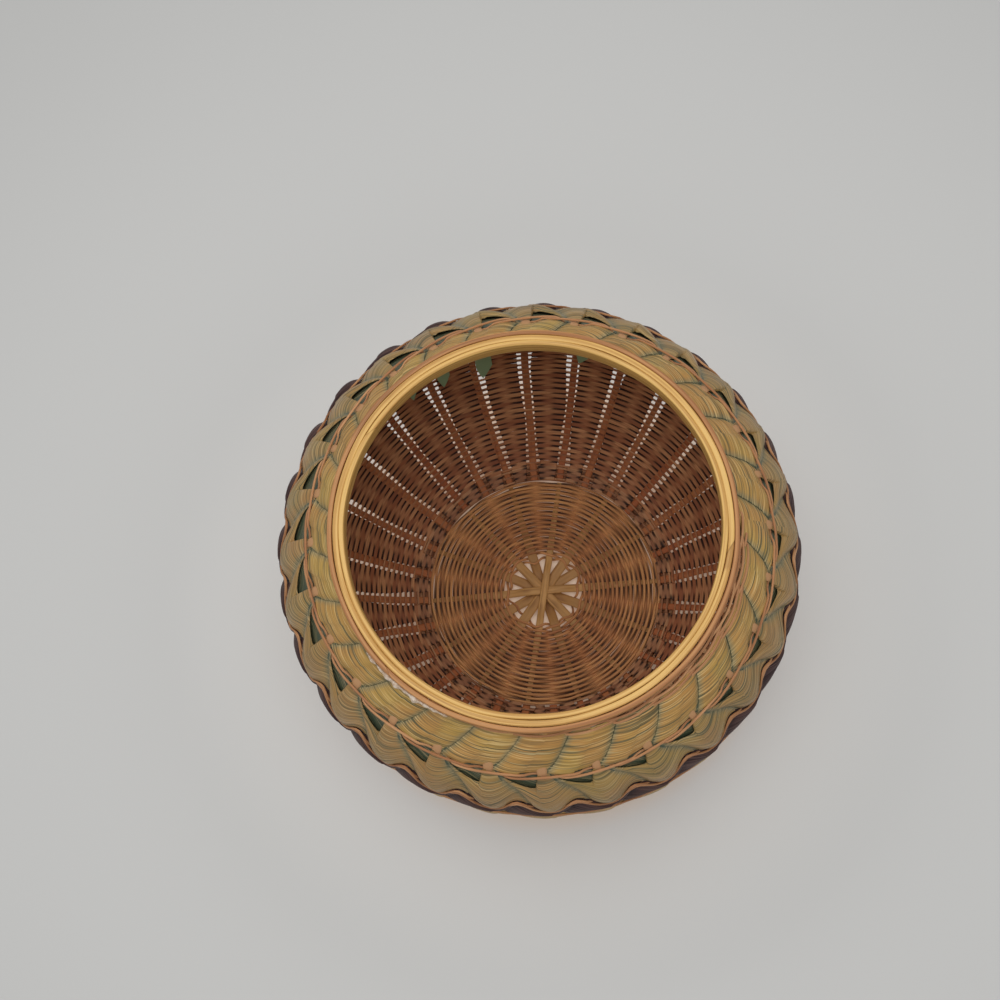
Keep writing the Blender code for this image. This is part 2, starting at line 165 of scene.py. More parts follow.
@dataclass(frozen=True)
class Wall:
    """The surface on which the side stakes run, and the lines between the rows of strips."""

    stations: tuple[tuple[float, float], ...] = (
        (63.3 * MM, 6.15 * MM),
        (70.0 * MM, 9.5 * MM),
        (97.04 * MM, 28.0 * MM),
        (117.01 * MM, 48.0 * MM),
        (123.3 * MM, 88.0 * MM),
        (119.35 * MM, 121.0 * MM),
        (106.28 * MM, 141.7 * MM),
        (90.6 * MM, 155.0 * MM),
    )
    lines: tuple[float, ...] = (58 * MM, 79 * MM, 100 * MM, 121 * MM, 141.7 * MM, 155 * MM)
    lean_drop: float = 3.4 * MM
    lean_shares: tuple[float, ...] = (0.0, 0.15, 0.35, 0.6, 1.0, 0.0)
    low_side: float = radians(-48)
    twist: float = radians(-2.6)
    twist_start: float = 48.0 * MM
    twist_stop: float = 141.7 * MM
    slope_step: float = 0.2 * MM
    lumps: tuple[tuple[int, float, float], ...] = (
        (1, 0.9 * MM, radians(-85)),
        (2, 0.6 * MM, radians(65)),
    )
    lump_heights: tuple[float, float, float, float] = (45 * MM, 75 * MM, 100 * MM, 122 * MM)

    def lump(self, azimuth: Array, height: Array) -> Array:
        """How far the belly is out of round: a few cosines round it, which fade out below and above."""
        start, full, last, stop = self.lump_heights
        share = smooth(height, start, full) * (1.0 - smooth(height, last, stop))
        return share * sum(size * np.cos(waves * azimuth + phase) for waves, size, phase in self.lumps)

    def radius(self, height: Array) -> Array:
        """Radius of the stakes' middle at each height: a cubic between stations, with their mean slopes."""
        radii, heights = np.array(self.stations).T
        slopes = np.gradient(radii, heights)
        i = np.clip(np.searchsorted(heights, height) - 1, 0, len(heights) - 2)
        step = heights[i + 1] - heights[i]
        t = np.clip((height - heights[i]) / step, 0.0, 1.0)
        return (
            (1 + 2 * t) * (1 - t) ** 2 * radii[i]
            + t**2 * (3 - 2 * t) * radii[i + 1]
            + step * t * (1 - t) ** 2 * slopes[i]
            - step * t**2 * (1 - t) * slopes[i + 1]
        )

    def line_height(self, line: int, azimuth: Array) -> Array:
        """Height of a row line: level, less a drop that follows the cosine from the low side."""
        drop = self.lean_drop * self.lean_shares[line]
        return self.lines[line] - drop * np.cos(azimuth - self.low_side)

    def turned(self, azimuth: Array, height: Array) -> Array:
        """The azimuth in space of a place on the wall, which turns evenly from the flank to the throat."""
        share = (height - self.twist_start) / (self.twist_stop - self.twist_start)
        return azimuth + self.twist * np.clip(share, 0.0, 1.0)

    def frame(self, azimuth: Array, height: Array) -> tuple[Array, Array, Array]:
        """Points of the wall with their directions.

        Args:
            azimuth: place round the untwisted wall.
            height: height above the floor, of the same shape.

        Returns:
            The points, the outward normals and the directions up the wall.
        """
        slope = self.radius(height + self.slope_step) - self.radius(height - self.slope_step)
        slope /= 2 * self.slope_step
        length = np.hypot(1.0, slope)
        turn = self.turned(azimuth, height)
        radius = self.radius(height) + self.lump(azimuth, height)
        level = np.zeros_like(turn)
        out = np.stack((np.cos(turn), np.sin(turn), level), axis=-1)
        up = np.stack((level, level, level + 1.0), axis=-1)
        point = out * radius[..., None] + up * height[..., None]
        normal = (out - up * slope[..., None]) / length[..., None]
        upward = (out * slope[..., None] + up) / length[..., None]
        return point, normal, upward

    def heights_at(self, lengths: Array) -> Array:
        """Heights of the places that lie at these lengths up the wall from the stakes' lower ends."""
        heights = np.linspace(self.stations[0][1], self.stations[-1][1], 3000)
        steps = np.hypot(np.diff(self.radius(heights)), np.diff(heights))
        return np.interp(lengths, np.concatenate(([0.0], np.cumsum(steps))), heights)

    def length_at(self, height: float) -> float:
        """Length up the wall from the stakes' lower ends to this height."""
        heights = np.linspace(self.stations[0][1], self.stations[-1][1], 3000)
        steps = np.hypot(np.diff(self.radius(heights)), np.diff(heights))
        return float(np.interp(height, heights, np.concatenate(([0.0], np.cumsum(steps)))))


def ring_frame(azimuth: Array, radius: Array, height: Array) -> tuple[Array, Array, Array]:
    """Points of level rings with their directions.

    Args:
        azimuth: place round the axis.
        radius: distance from the axis, of the same shape.
        height: height above the floor, of the same shape.

    Returns:
        The points, the directions out from the axis and the directions up.
    """
    level = np.zeros_like(azimuth)
    out = np.stack((np.cos(azimuth), np.sin(azimuth), level), axis=-1)
    up = np.stack((level, level, level + 1.0), axis=-1)
    return out * radius[..., None] + up * height[..., None], out, up


def run_lengths(path: Array, closed: bool) -> Array:
    """Lengths along each path.

    Args:
        path: points, of shape (strands, places, 3).
        closed: whether the last place joins the first.

    Returns:
        The length from the first place to each place, with the whole length last on a closed path.
    """
    ends = np.concatenate((path, path[:, :1]), axis=1) if closed else path
    steps = np.linalg.norm(np.diff(ends, axis=1), axis=2)
    return np.concatenate((np.zeros((len(path), 1)), np.cumsum(steps, axis=1)), axis=1)


def grid_quads(rings: int, corners: int, closed: bool) -> tuple[Array, Array, Array]:
    """Quads of a tube of equal cross-sections.

    Args:
        rings: number of cross-sections.
        corners: corners of each.
        closed: whether the last cross-section joins the first.

    Returns:
        The quads' vertex numbers, and the ring and corner of each, counted past the end where it wraps.
    """
    ring = np.arange(rings if closed else rings - 1)[:, None, None] + np.array([0, 1, 1, 0])
    corner = np.arange(corners)[None, :, None] + np.array([0, 0, 1, 1])
    ring, corner = np.broadcast_arrays(ring, corner)
    number = (ring % rings) * corners + corner % corners
    return number.reshape(-1, 4), ring.reshape(-1, 4), corner.reshape(-1, 4)


def cap_quads(corners: int) -> Array:
    """Quads that fill an even section whose corners are numbered from 0, facing back along the path."""
    step = np.arange(1, corners - 2, 2)
    return np.column_stack((np.zeros_like(step), step, step + 1, step + 2))


@dataclass
class Skin:
    """Quads gathered from grids, with a pattern place and two shades for each, that become one mesh."""

    points: list[Array] = field(default_factory=list)
    quads: list[Array] = field(default_factory=list)
    places: list[Array] = field(default_factory=list)
    tones: list[Array] = field(default_factory=list)
    fades_and_painted_shades: list[Array] = field(default_factory=list)
    count: int = 0

    def add_grid(
        self, corners: Array, places: Array, tone: Array, fade_and_painted_shade: Array, closed: bool
    ) -> None:
        """Adds tubes given by all of their corners.

        Args:
            corners: points, of shape (strands, rings, corners, 3).
            places: pattern places, of shape (strands, rings + closed, corners + 1, 2).
            tone: shade of each strand, ring and corner.
            fade_and_painted_shade: second shade of each strand, ring and corner, which carries fading, stains
                and painted shade.
            closed: whether the last ring joins the first.
        """
        strands, rings, around, _ = corners.shape
        quads, ring, corner = grid_quads(rings, around, closed)
        first = self.count + np.arange(strands)[:, None, None] * rings * around
        self.points.append(corners.reshape(-1, 3))
        self.quads.append((first + quads).reshape(-1, 4))
        self.places.append(places[:, ring, corner].reshape(-1, 4, 2))
        self.tones.append(np.broadcast_to(tone, corners.shape[:3]).ravel())
        self.fades_and_painted_shades.append(np.broadcast_to(fade_and_painted_shade, corners.shape[:3]).ravel())
        if not closed:
            cap = cap_quads(around)
            ends = np.concatenate((cap, cap[:, ::-1] + (rings - 1) * around))
            flat = np.zeros((strands * len(ends), 4, 2))
            self.quads.append((first + ends).reshape(-1, 4))
            self.places.append(flat)
        self.count += strands * rings * around

    def add_tubes(
        self,
        path: Array,
        outward: Array,
        upward: Array,
        section: Array,
        closed: bool,
        tone: Array | float = 0.5,
        fade_and_painted_shade: Array | float = 0.0,
    ) -> None:
        """Adds strands that carry a section along their paths.

        Each corner is the path's point + outward times the section's first size + upward times its
        second. Outward is where a right-handed turn from the path's direction to upward points.

        Args:
            path: points, of shape (strands, places, 3).
            outward: directions of the same shape.
            upward: directions of the same shape.
            section: sizes, of shape (corners, 2), or (strands, places, corners, 2).
            closed: whether the last place joins the first.
            tone: shade, of shape (strands, places, corners) or one that broadcasts to it.
            fade_and_painted_shade: second shade, in the same shapes, which carries fading, stains and painted
                shade.
        """
        section = np.broadcast_to(section, (*path.shape[:2], *section.shape[-2:]))
        corners = (
            path[:, :, None, :]
            + outward[:, :, None, :] * section[..., :1]
            + upward[:, :, None, :] * section[..., 1:]
        )
        lengths = run_lengths(path, closed)
        around = np.linalg.norm(section[0, 0] - np.roll(section[0, 0], -1, axis=0), axis=1)
        girth = np.concatenate(([0.0], np.cumsum(around)))
        strands = np.arange(len(path))[:, None, None]
        places = np.empty((*lengths.shape, len(girth), 2))
        places[..., 0] = lengths[:, :, None] + strands * 0.371
        places[..., 1] = girth + strands * 0.0173
        self.add_grid(corners, places, np.asarray(tone, dtype=float), np.asarray(fade_and_painted_shade, dtype=float), closed)

    def build(self, name: str) -> bpy.types.Object:
        """Makes the mesh object.

        Args:
            name: the piece's name.

        Returns:
            The object at the origin, with its pattern places as a UV map.
        """
        mesh = bpy.data.meshes.new(name)
        mesh.from_pydata(np.concatenate(self.points), [], np.concatenate(self.quads))
        layer = mesh.uv_layers.new(name="Along")
        layer.data.foreach_set("uv", np.concatenate(self.places).astype(np.float32).ravel())
        for label, shades in (("tone", self.tones), ("fade_and_painted_shade", self.fades_and_painted_shades)):
            attribute = mesh.attributes.new(label, "FLOAT", "POINT")
            attribute.data.foreach_set("value", np.concatenate(shades).astype(np.float32))
        mesh.shade_smooth()
        mesh.set_sharp_from_angle(angle=radians(50))
        piece = bpy.data.objects.new(name, mesh)
        bpy.context.scene.collection.objects.link(piece)
        return piece


def place_piece(
    piece: bpy.types.Object, material: bpy.types.Material, slot: Slot, *nodes: str
) -> None:
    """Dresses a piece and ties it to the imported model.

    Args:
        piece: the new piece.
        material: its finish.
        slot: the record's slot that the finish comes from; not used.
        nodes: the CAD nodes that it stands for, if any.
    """
    piece.data.materials.append(material)
    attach(piece, "root")
    if nodes:
        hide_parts(*nodes)
    log.info("%s: %d faces for %s", piece.name, len(piece.data.polygons), ", ".join(nodes) or "detail")


# Finishes


@dataclass
class NodeBoard:
    """A material's nodes while they are put together."""

    name: str
    roughness: float
    gloss: float = 0.5
    material: bpy.types.Material = field(init=False)

    def __post_init__(self) -> None:
        """Starts the material with its Principled shader."""
        self.material = bpy.data.materials.new(self.name)
        self.material.use_nodes = True
        self.shader = self.material.node_tree.nodes["Principled BSDF"]
        self.shader.inputs["Roughness"].default_value = self.roughness
        self.shader.inputs["Specular IOR Level"].default_value = self.gloss

    def add(self, kind: str, **settings: object) -> bpy.types.Node:
        """A new node of this kind, with these properties."""
        node = self.material.node_tree.nodes.new(kind)
        for key, value in settings.items():
            setattr(node, key, value)
        return node

    def link(self, output: bpy.types.NodeSocket, target: bpy.types.NodeSocket) -> None:
        """Joins two sockets."""
        self.material.node_tree.links.new(output, target)

    def shade(self, label: str) -> bpy.types.NodeSocket:
        """The mesh's own attribute of this name."""
        return self.add("ShaderNodeAttribute", attribute_name=label).outputs["Fac"]

    def grain(self, along: float, across: float, detail: float = 2.0) -> bpy.types.NodeSocket:
        """Noise stretched along the strand.

        Args:
            along: features to the metre along the strand.
            across: features to the metre across it.
            detail: octaves of finer noise.

        Returns:
            The noise's value, from 0 to 1.
        """
        place = self.add("ShaderNodeUVMap", uv_map="Along")
        scale = self.add("ShaderNodeVectorMath", operation="MULTIPLY")
        scale.inputs[1].default_value = (along, across, 1.0)
        noise = self.add("ShaderNodeTexNoise", noise_dimensions="2D")
        noise.inputs["Scale"].default_value = 1.0
        noise.inputs["Detail"].default_value = detail
        self.link(place.outputs[0], scale.inputs[0])
        self.link(scale.outputs[0], noise.inputs["Vector"])
        return noise.outputs["Fac"]

    def cloud(self, scale: float, detail: float = 2.0) -> bpy.types.NodeSocket:
        """Noise in the object's own space, with this many features to the metre."""
        place = self.add("ShaderNodeTexCoord")
        noise = self.add("ShaderNodeTexNoise")
        noise.inputs["Scale"].default_value = scale
        noise.inputs["Detail"].default_value = detail
        self.link(place.outputs["Object"], noise.inputs["Vector"])
        return noise.outputs["Fac"]

    def span(
        self, value: bpy.types.NodeSocket, low: float, high: float, start: float = 0.0, stop: float = 1.0
    ) -> bpy.types.NodeSocket:
        """Maps a value from low..high to start..stop, kept within those.

        Args:
            value: the value to map.
            low: what becomes start.
            high: what becomes stop.
            start: the result at low.
            stop: the result at high.

        Returns:
            The mapped value.
        """
        node = self.add("ShaderNodeMapRange", interpolation_type="SMOOTHSTEP")
        for label, number in zip(("From Min", "From Max", "To Min", "To Max"), (low, high, start, stop)):
            node.inputs[label].default_value = number
        self.link(value, node.inputs["Value"])
        return node.outputs["Result"]

    def blend(
        self,
        share: bpy.types.NodeSocket,
        first: bpy.types.NodeSocket | Colour,
        second: bpy.types.NodeSocket | Colour,
        kind: str = "MIX",
    ) -> bpy.types.NodeSocket:
        """Mixes two colours.

        Args:
            share: how much of the second, from 0 to 1.
            first: a colour or the socket of one.
            second: a colour or the socket of one.
            kind: the way of mixing.

        Returns:
            The mixed colour.
        """
        node = self.add("ShaderNodeMix", data_type="RGBA", blend_type=kind)
        self.link(share, node.inputs[0])
        for source, target in ((first, node.inputs[6]), (second, node.inputs[7])):
            if isinstance(source, tuple):
                target.default_value = (*source, 1.0)
            else:
                self.link(source, target)
        return node.outputs[2]

    def relief(self, value: bpy.types.NodeSocket, depth: float) -> None:
        """Bumps the surface by the value, this deep."""
        bump = self.add("ShaderNodeBump")
        bump.inputs["Distance"].default_value = depth
        bump.inputs["Strength"].default_value = 1.0
        self.link(value, bump.inputs["Height"])
        self.link(bump.outputs["Normal"], self.shader.inputs["Normal"])

    def finish(
        self, colour: bpy.types.NodeSocket, roughness: bpy.types.NodeSocket | None = None
    ) -> bpy.types.Material:
        """Gives the shader its colour, and its roughness where that changes, and returns the material."""
        self.link(colour, self.shader.inputs["Base Color"])
        if roughness is not None:
            self.link(roughness, self.shader.inputs["Roughness"])
        return self.material


@dataclass(frozen=True)
class StrandFinish:
    """Thin bamboo: each strand its own tone, with darker stains and fine fibres along it."""

    name: str
    dark: Colour
    light: Colour
    stain: Colour
    roughness: float = 0.5
    fibres: float = 2600.0
    fibre_depth: float = 0.12 * MM
    gloss: float = 0.18
    # Second colour, mixed in by fade: painted shade for woven strands and sticks, the paler upper stretch for
    # stakes.
    painted_shade_and_stake_top: Colour = (0.014, 0.006, 0.006)

    def make(self) -> bpy.types.Material:
        """The material: tone picks between dark and light, long noise adds stain and fibres, and fade mixes in
        the second colour: painted shade on woven strands and sticks, a paler upper stretch on stakes.
        """
        board = NodeBoard(self.name, self.roughness, self.gloss)
        fibre = board.grain(60.0, self.fibres)
        patch = board.grain(45.0, 200.0)
        tone = board.blend(board.shade("tone"), self.dark, self.light)
        stained = board.blend(board.span(patch, 0.48, 0.75, 0.0, 0.75), tone, self.stain)
        streak = board.blend(board.span(fibre, 0.3, 0.7, 0.55, 0.0), stained, self.dark)
        # Painted shade where fade is high on woven strands and sticks; on stakes it gives their paler upper
        # stretch.
        streak = board.blend(board.span(board.shade("fade_and_painted_shade"), 0.0, 0.8, 0.0, 0.95), streak, self.painted_shade_and_stake_top)
        board.relief(fibre, self.fibre_depth)
        return board.finish(streak, board.span(patch, 0.2, 0.8, self.roughness - 0.1, self.roughness + 0.12))


@dataclass(frozen=True)
class StripFinish:
    """A wide split strip: faded in the light, still dyed where it is tucked in, with fine ribs along it."""

    name: str
    faded: Colour
    faded_warm: Colour
    half_faded: Colour
    dyed: Colour
    # Pale fibre streaks, partly the bamboo's own pale fibres and partly a painted glossy highlight.
    edge: Colour
    roughness: float = 0.42
    gloss: float = 0.4
    rib_depth: float = 0.16 * MM

    def make(self) -> bpy.types.Material:
        """The material: fade picks dyed, half faded or faded, tone warms it, long noise makes the ribs and the
        pale fibre streaks in the edge colour, which stand partly for a painted highlight.
        """
        board = NodeBoard(self.name, self.roughness, self.gloss)
        rib = board.grain(18.0, 1150.0)
        fibre = board.grain(35.0, 2600.0)
        patch = board.grain(26.0, 90.0, 3.0)
        cloud = board.cloud(55.0)
        warm = board.blend(board.span(cloud, 0.35, 0.65), self.faded, self.faded_warm)
        warm = board.blend(board.span(board.shade("tone"), 0.0, 1.0, 0.0, 0.6), warm, self.faded_warm)
        worn = board.add("ShaderNodeMath", operation="MULTIPLY_ADD")
        worn.inputs[1].default_value = 0.5
        board.link(patch, worn.inputs[0])
        board.link(board.shade("fade_and_painted_shade"), worn.inputs[2])
        colour = board.blend(board.span(worn.outputs[0], 0.3, 0.55), self.dyed, self.half_faded)
        colour = board.blend(board.span(worn.outputs[0], 0.6, 1.15), colour, warm)
        lines = board.blend(board.span(rib, 0.28, 0.5, 0.8, 0.0), colour, self.dyed)
        lines = board.blend(board.span(fibre, 0.3, 0.5, 0.5, 0.0), lines, self.dyed)
        # Pale fibre streaks in the edge colour: partly real pale fibres, partly a painted highlight.
        lines = board.blend(board.span(fibre, 0.54, 0.7, 0.0, 0.5), lines, self.edge)
        height = board.add("ShaderNodeMath", operation="MULTIPLY_ADD")
        height.inputs[1].default_value = 0.35
        board.link(fibre, height.inputs[0])
        board.link(rib, height.inputs[2])
        board.relief(height.outputs[0], self.rib_depth)
        return board.finish(lines, board.span(rib, 0.3, 0.7, self.roughness + 0.15, self.roughness - 0.08))


@dataclass(frozen=True)
class HoopFinish:
    """A bent bamboo hoop: pale, with long darker grain lines and a few stained stretches."""

    name: str
    pale: Colour
    deep: Colour
    stain: Colour
    roughness: float = 0.38

    def make(self) -> bpy.types.Material:
        """The material: long noise mixes pale and deep, a sharper one draws the grain, clouds stain it."""
        board = NodeBoard(self.name, self.roughness, 0.35)
        grain = board.grain(14.0, 900.0, 3.0)
        line = board.grain(6.0, 1500.0)
        cloud = board.cloud(28.0, 3.0)
        colour = board.blend(board.span(grain, 0.33, 0.66), self.pale, self.deep)
        colour = board.blend(board.span(line, 0.6, 0.7, 0.0, 0.65), colour, self.stain)
        colour = board.blend(board.span(cloud, 0.58, 0.8, 0.0, 0.5), colour, self.stain)
        colour = board.blend(board.shade("fade_and_painted_shade"), colour, self.stain)
        board.relief(grain, 0.12 * MM)
        return board.finish(colour, board.span(grain, 0.2, 0.8, self.roughness - 0.06, self.roughness + 0.14))


# Base and foot


@dataclass
class Base:
    """Seven crossed sticks and the woven rings round them."""

    level: float = 4.0 * MM
    layers: tuple[int, ...] = (5, 2, 3, 6, 0, 4, 1)
    layer_pitch: float = 1.0 * MM
    reach: float = 62.6 * MM
    level_reach: float = 19.0 * MM
    crossing_reach: float = 9.6 * MM
    stick_widths: tuple[float, ...] = (4.4 * MM, 5.2 * MM, 5.4 * MM, 3.9 * MM, 5.2 * MM, 4.9 * MM, 5.3 * MM)
    tip_width: float = 2.4 * MM
    stick_thickness: float = 0.7 * MM
    courses: int = 35
    first_radius: float = 20.4 * MM
    last_radius: float = 62.75 * MM
    strand_half: float = 0.74 * MM
    strand_half_height: float = 0.6 * MM

    def build_sticks(self, material: bpy.types.Material) -> None:
        """Each stick: a flat section along X, high or low at the centre by its layer, then turned."""
        reach = np.linspace(-1.0, 1.0, 61) * self.reach
        section = rounded_section(10, 4.0)
        for number, layer in enumerate(self.layers):
            rise = (layer - (len(self.layers) - 1) / 2) * self.layer_pitch
            share = smooth(np.abs(reach), self.crossing_reach, self.level_reach)
            level = self.level + rise * (1.0 - share)
            turn = number * pi / len(self.layers)
            sizes = (self.stick_widths[number], self.stick_widths[number], self.tip_width)
            width = np.interp(np.abs(reach), (0.0, self.first_radius, self.reach), sizes)
            wander = 0.25 * MM * np.sin(reach / self.reach * 2.2 + number * 1.7)
            path = np.stack(
                (
                    reach * cos(turn) - wander * sin(turn),
                    reach * sin(turn) + wander * cos(turn),
                    level,
                ),
                axis=-1,
            )[None]
            up = np.broadcast_to((0.0, 0.0, 1.0), path.shape)
            side = np.broadcast_to((-sin(turn), cos(turn), 0.0), path.shape)
            sizes = np.stack(
                (np.full_like(width, self.stick_thickness / 2), width / 2), axis=-1
            )
            skin = Skin()
            tone = 0.2 + 0.12 * layer
            # Painted shade: each stick is darkened where it runs in under the woven rings.
            fade_and_painted_shade = 0.26 * smooth(np.abs(reach), self.first_radius, self.first_radius + 3.0 * MM)
            section_at = sizes[None, :, None, :] * section
            skin.add_tubes(path, up, side, section_at, False, tone, fade_and_painted_shade[None, :, None])
            piece = skin.build(f"spoke_stick_{number + 1}")
            place_piece(piece, material, Slot.STICK, f"base_stick_{number + 1}")

    def build_weave(self, material: bpy.types.Material) -> None:
        """Closed rings that pass over and under the sticks by turns: height = level ± a cosine wave."""
        spokes = 2 * len(self.layers)
        azimuth = np.arange(spokes * 12) * tau / (spokes * 12)
        radii = np.linspace(self.first_radius, self.last_radius, self.courses)[:, None]
        radii = radii + 0.16 * MM * ripple(azimuth, self.courses, (2, 3, 5, 8), 11)
        edge = 0.65 * np.cos(2.0 * azimuth) + 0.3 * ripple(azimuth, self.courses, (9, 14, 23), 16)
        radii = radii + edge * MM * smooth(radii, 58 * MM, 62 * MM)
        loose = ripple(azimuth, self.courses, (3, 6, 11), 15) - 1.0
        radii = radii + 1.6 * MM * loose * np.exp(-np.arange(self.courses) / 1.3)[:, None]
        parity = np.arange(self.courses)[:, None]
        lift = self.stick_thickness / 2 + self.strand_half_height * 0.6
        wave = woven_offset(azimuth[None] / (tau / spokes) + parity, 0.65)
        height = self.level + lift * wave
        path, out, up = ring_frame(np.broadcast_to(azimuth, radii.shape), radii, height)
        halves = 1.0 + 0.07 * ripple(azimuth, self.courses, (4, 9), 12)
        shape = rounded_section(6, 2.0)
        section = halves[..., None, None] * shape * np.array((self.strand_half, self.strand_half_height))
        tone = np.random.default_rng(13).uniform(0.0, 0.5, (self.courses, 1))
        tone = tone + 0.5 * smooth(radii, 38 * MM, 58 * MM)
        tone = tone + 0.12 * ripple(azimuth, self.courses, (1, 2, 3), 14)
        skin = Skin()
        # Painted shade: corners that lie deep between the rings are darkened.
        painted_shade_and_stake_top = 0.8 * painted_crevice_shade(wave, shape[:, ::-1])
        skin.add_tubes(path, out, up, section, True, np.clip(tone, 0.0, 1.0)[..., None], painted_shade_and_stake_top)
        place_piece(skin.build("base_strands"), material, Slot.BASE, "base_weave")


@dataclass
class Foot:
    """The coiled ring that the basket stands on and the wale that turns the stakes up."""

    wall: Wall
    floor_rods: tuple[tuple[float, float], ...] = (
        (65.3 * MM, 1.0 * MM),
        (67.3 * MM, 1.0 * MM),
        (66.4 * MM, 2.8 * MM),
        (68.5 * MM, 3.0 * MM),
        (70.2 * MM, 4.8 * MM),
        (68.4 * MM, 5.3 * MM),
        (71.5 * MM, 6.7 * MM),
    )
    rod_half: float = 1.0 * MM
    first_length: float = 0.9 * MM
    courses: int = 6

    def build(self, material: bpy.types.Material) -> None:
        """Level rings under the stakes, and the first fine courses round the stakes' lower ends."""
        azimuth = np.arange(STAKE_COUNT * 8) * CELL / 8
        count = len(self.floor_rods)
        radius = np.array(self.floor_rods)[:, :1] + 0.2 * MM * ripple(azimuth, count, (3, 5, 9), 21)
        height = np.repeat(np.array(self.floor_rods)[:, 1:], len(azimuth), axis=1)
        path, out, up = ring_frame(np.broadcast_to(azimuth, radius.shape), radius, height)
        skin = Skin()
        tone = np.random.default_rng(22).uniform(0.2, 0.9, (count, 1, 1))
        skin.add_tubes(path, out, up, self.rod_half * rounded_section(8, 2.0), True, tone)
        weave = WallWeave(self.wall)
        weave.add_courses(skin, np.linspace(self.first_length, weave.first_length, self.courses)[:-1], 25)
        place_piece(skin.build("foot_rods"), material, Slot.BROWN, "foot_wale")


# Wall


@dataclass
class Stakes:
    """The side stakes, from the foot up the wall and into the rim."""

    wall: Wall
    half_width: float = 1.75 * MM
    half_thickness: float = 0.5 * MM
    stray: float = 1.2 * MM
    tip_radius: float = 88.1 * MM
    tip_height: float = 159.0 * MM

    def build(self, material: bpy.types.Material) -> None:
        """Each stake: a flat rounded section up the wall's curve, its last part bent upright in the rim."""
        heights = np.concatenate(
            (
                self.wall.heights_at(np.linspace(0.2 * MM, self.wall.length_at(0.154), 58)),
                np.linspace(155.6 * MM, self.tip_height, 5),
            )
        )
        section = np.array((self.half_thickness, self.half_width)) * rounded_section(10, 3.2)
        random = np.random.default_rng(31)
        for index in range(STAKE_COUNT):
            azimuth = np.full((1, len(heights)), index * CELL)
            path, normal, _ = self.wall.frame(azimuth, heights[None])
            share = smooth(heights, 152.5 * MM, 157.0 * MM)[None, :, None]
            turn = self.wall.turned(azimuth, heights[None])
            tip, out, _ = ring_frame(turn, np.full_like(azimuth, self.tip_radius), heights[None])
            path = path * (1.0 - share) + tip * share
            normal = normal * (1.0 - share) + out * share
            normal /= np.linalg.norm(normal, axis=-1, keepdims=True)
            side = np.stack((np.sin(turn), -np.cos(turn), np.zeros_like(turn)), axis=-1)
            woven = smooth(heights, 8 * MM, 20 * MM) * (1.0 - smooth(heights, 52 * MM, 75 * MM))
            drift = 0.2 * MM * np.sin(np.linspace(0.0, 9.0, len(heights)) + random.uniform(0.0, tau))
            drift = drift + random.uniform(-1.0, 1.0) * self.stray * woven
            width = random.uniform(0.88, 1.2)
            tone = random.uniform(0.0, 0.5)
            fade_and_painted_shade = smooth(heights, 60 * MM, 75 * MM)
            skin = Skin()
            shown = (heights - self.wall.line_height(4, index * CELL) - 1.6 * MM) / (2.4 * MM)
            widths = (width * (1.0 - 0.25 * fade_and_painted_shade + 0.45 * np.exp(-(shown**2))))[None, :, None, None]
            skin.add_tubes(
                path + side * drift[None, :, None],
                normal,
                side,
                section * np.concatenate((np.ones_like(widths), widths), axis=-1),
                False,
                tone,
                fade_and_painted_shade[None, :, None],
            )
            number = f"{index + 1:02d}"
            place_piece(skin.build(f"stake_{number}"), material, Slot.RED_BROWN, f"side_stake_{number}")


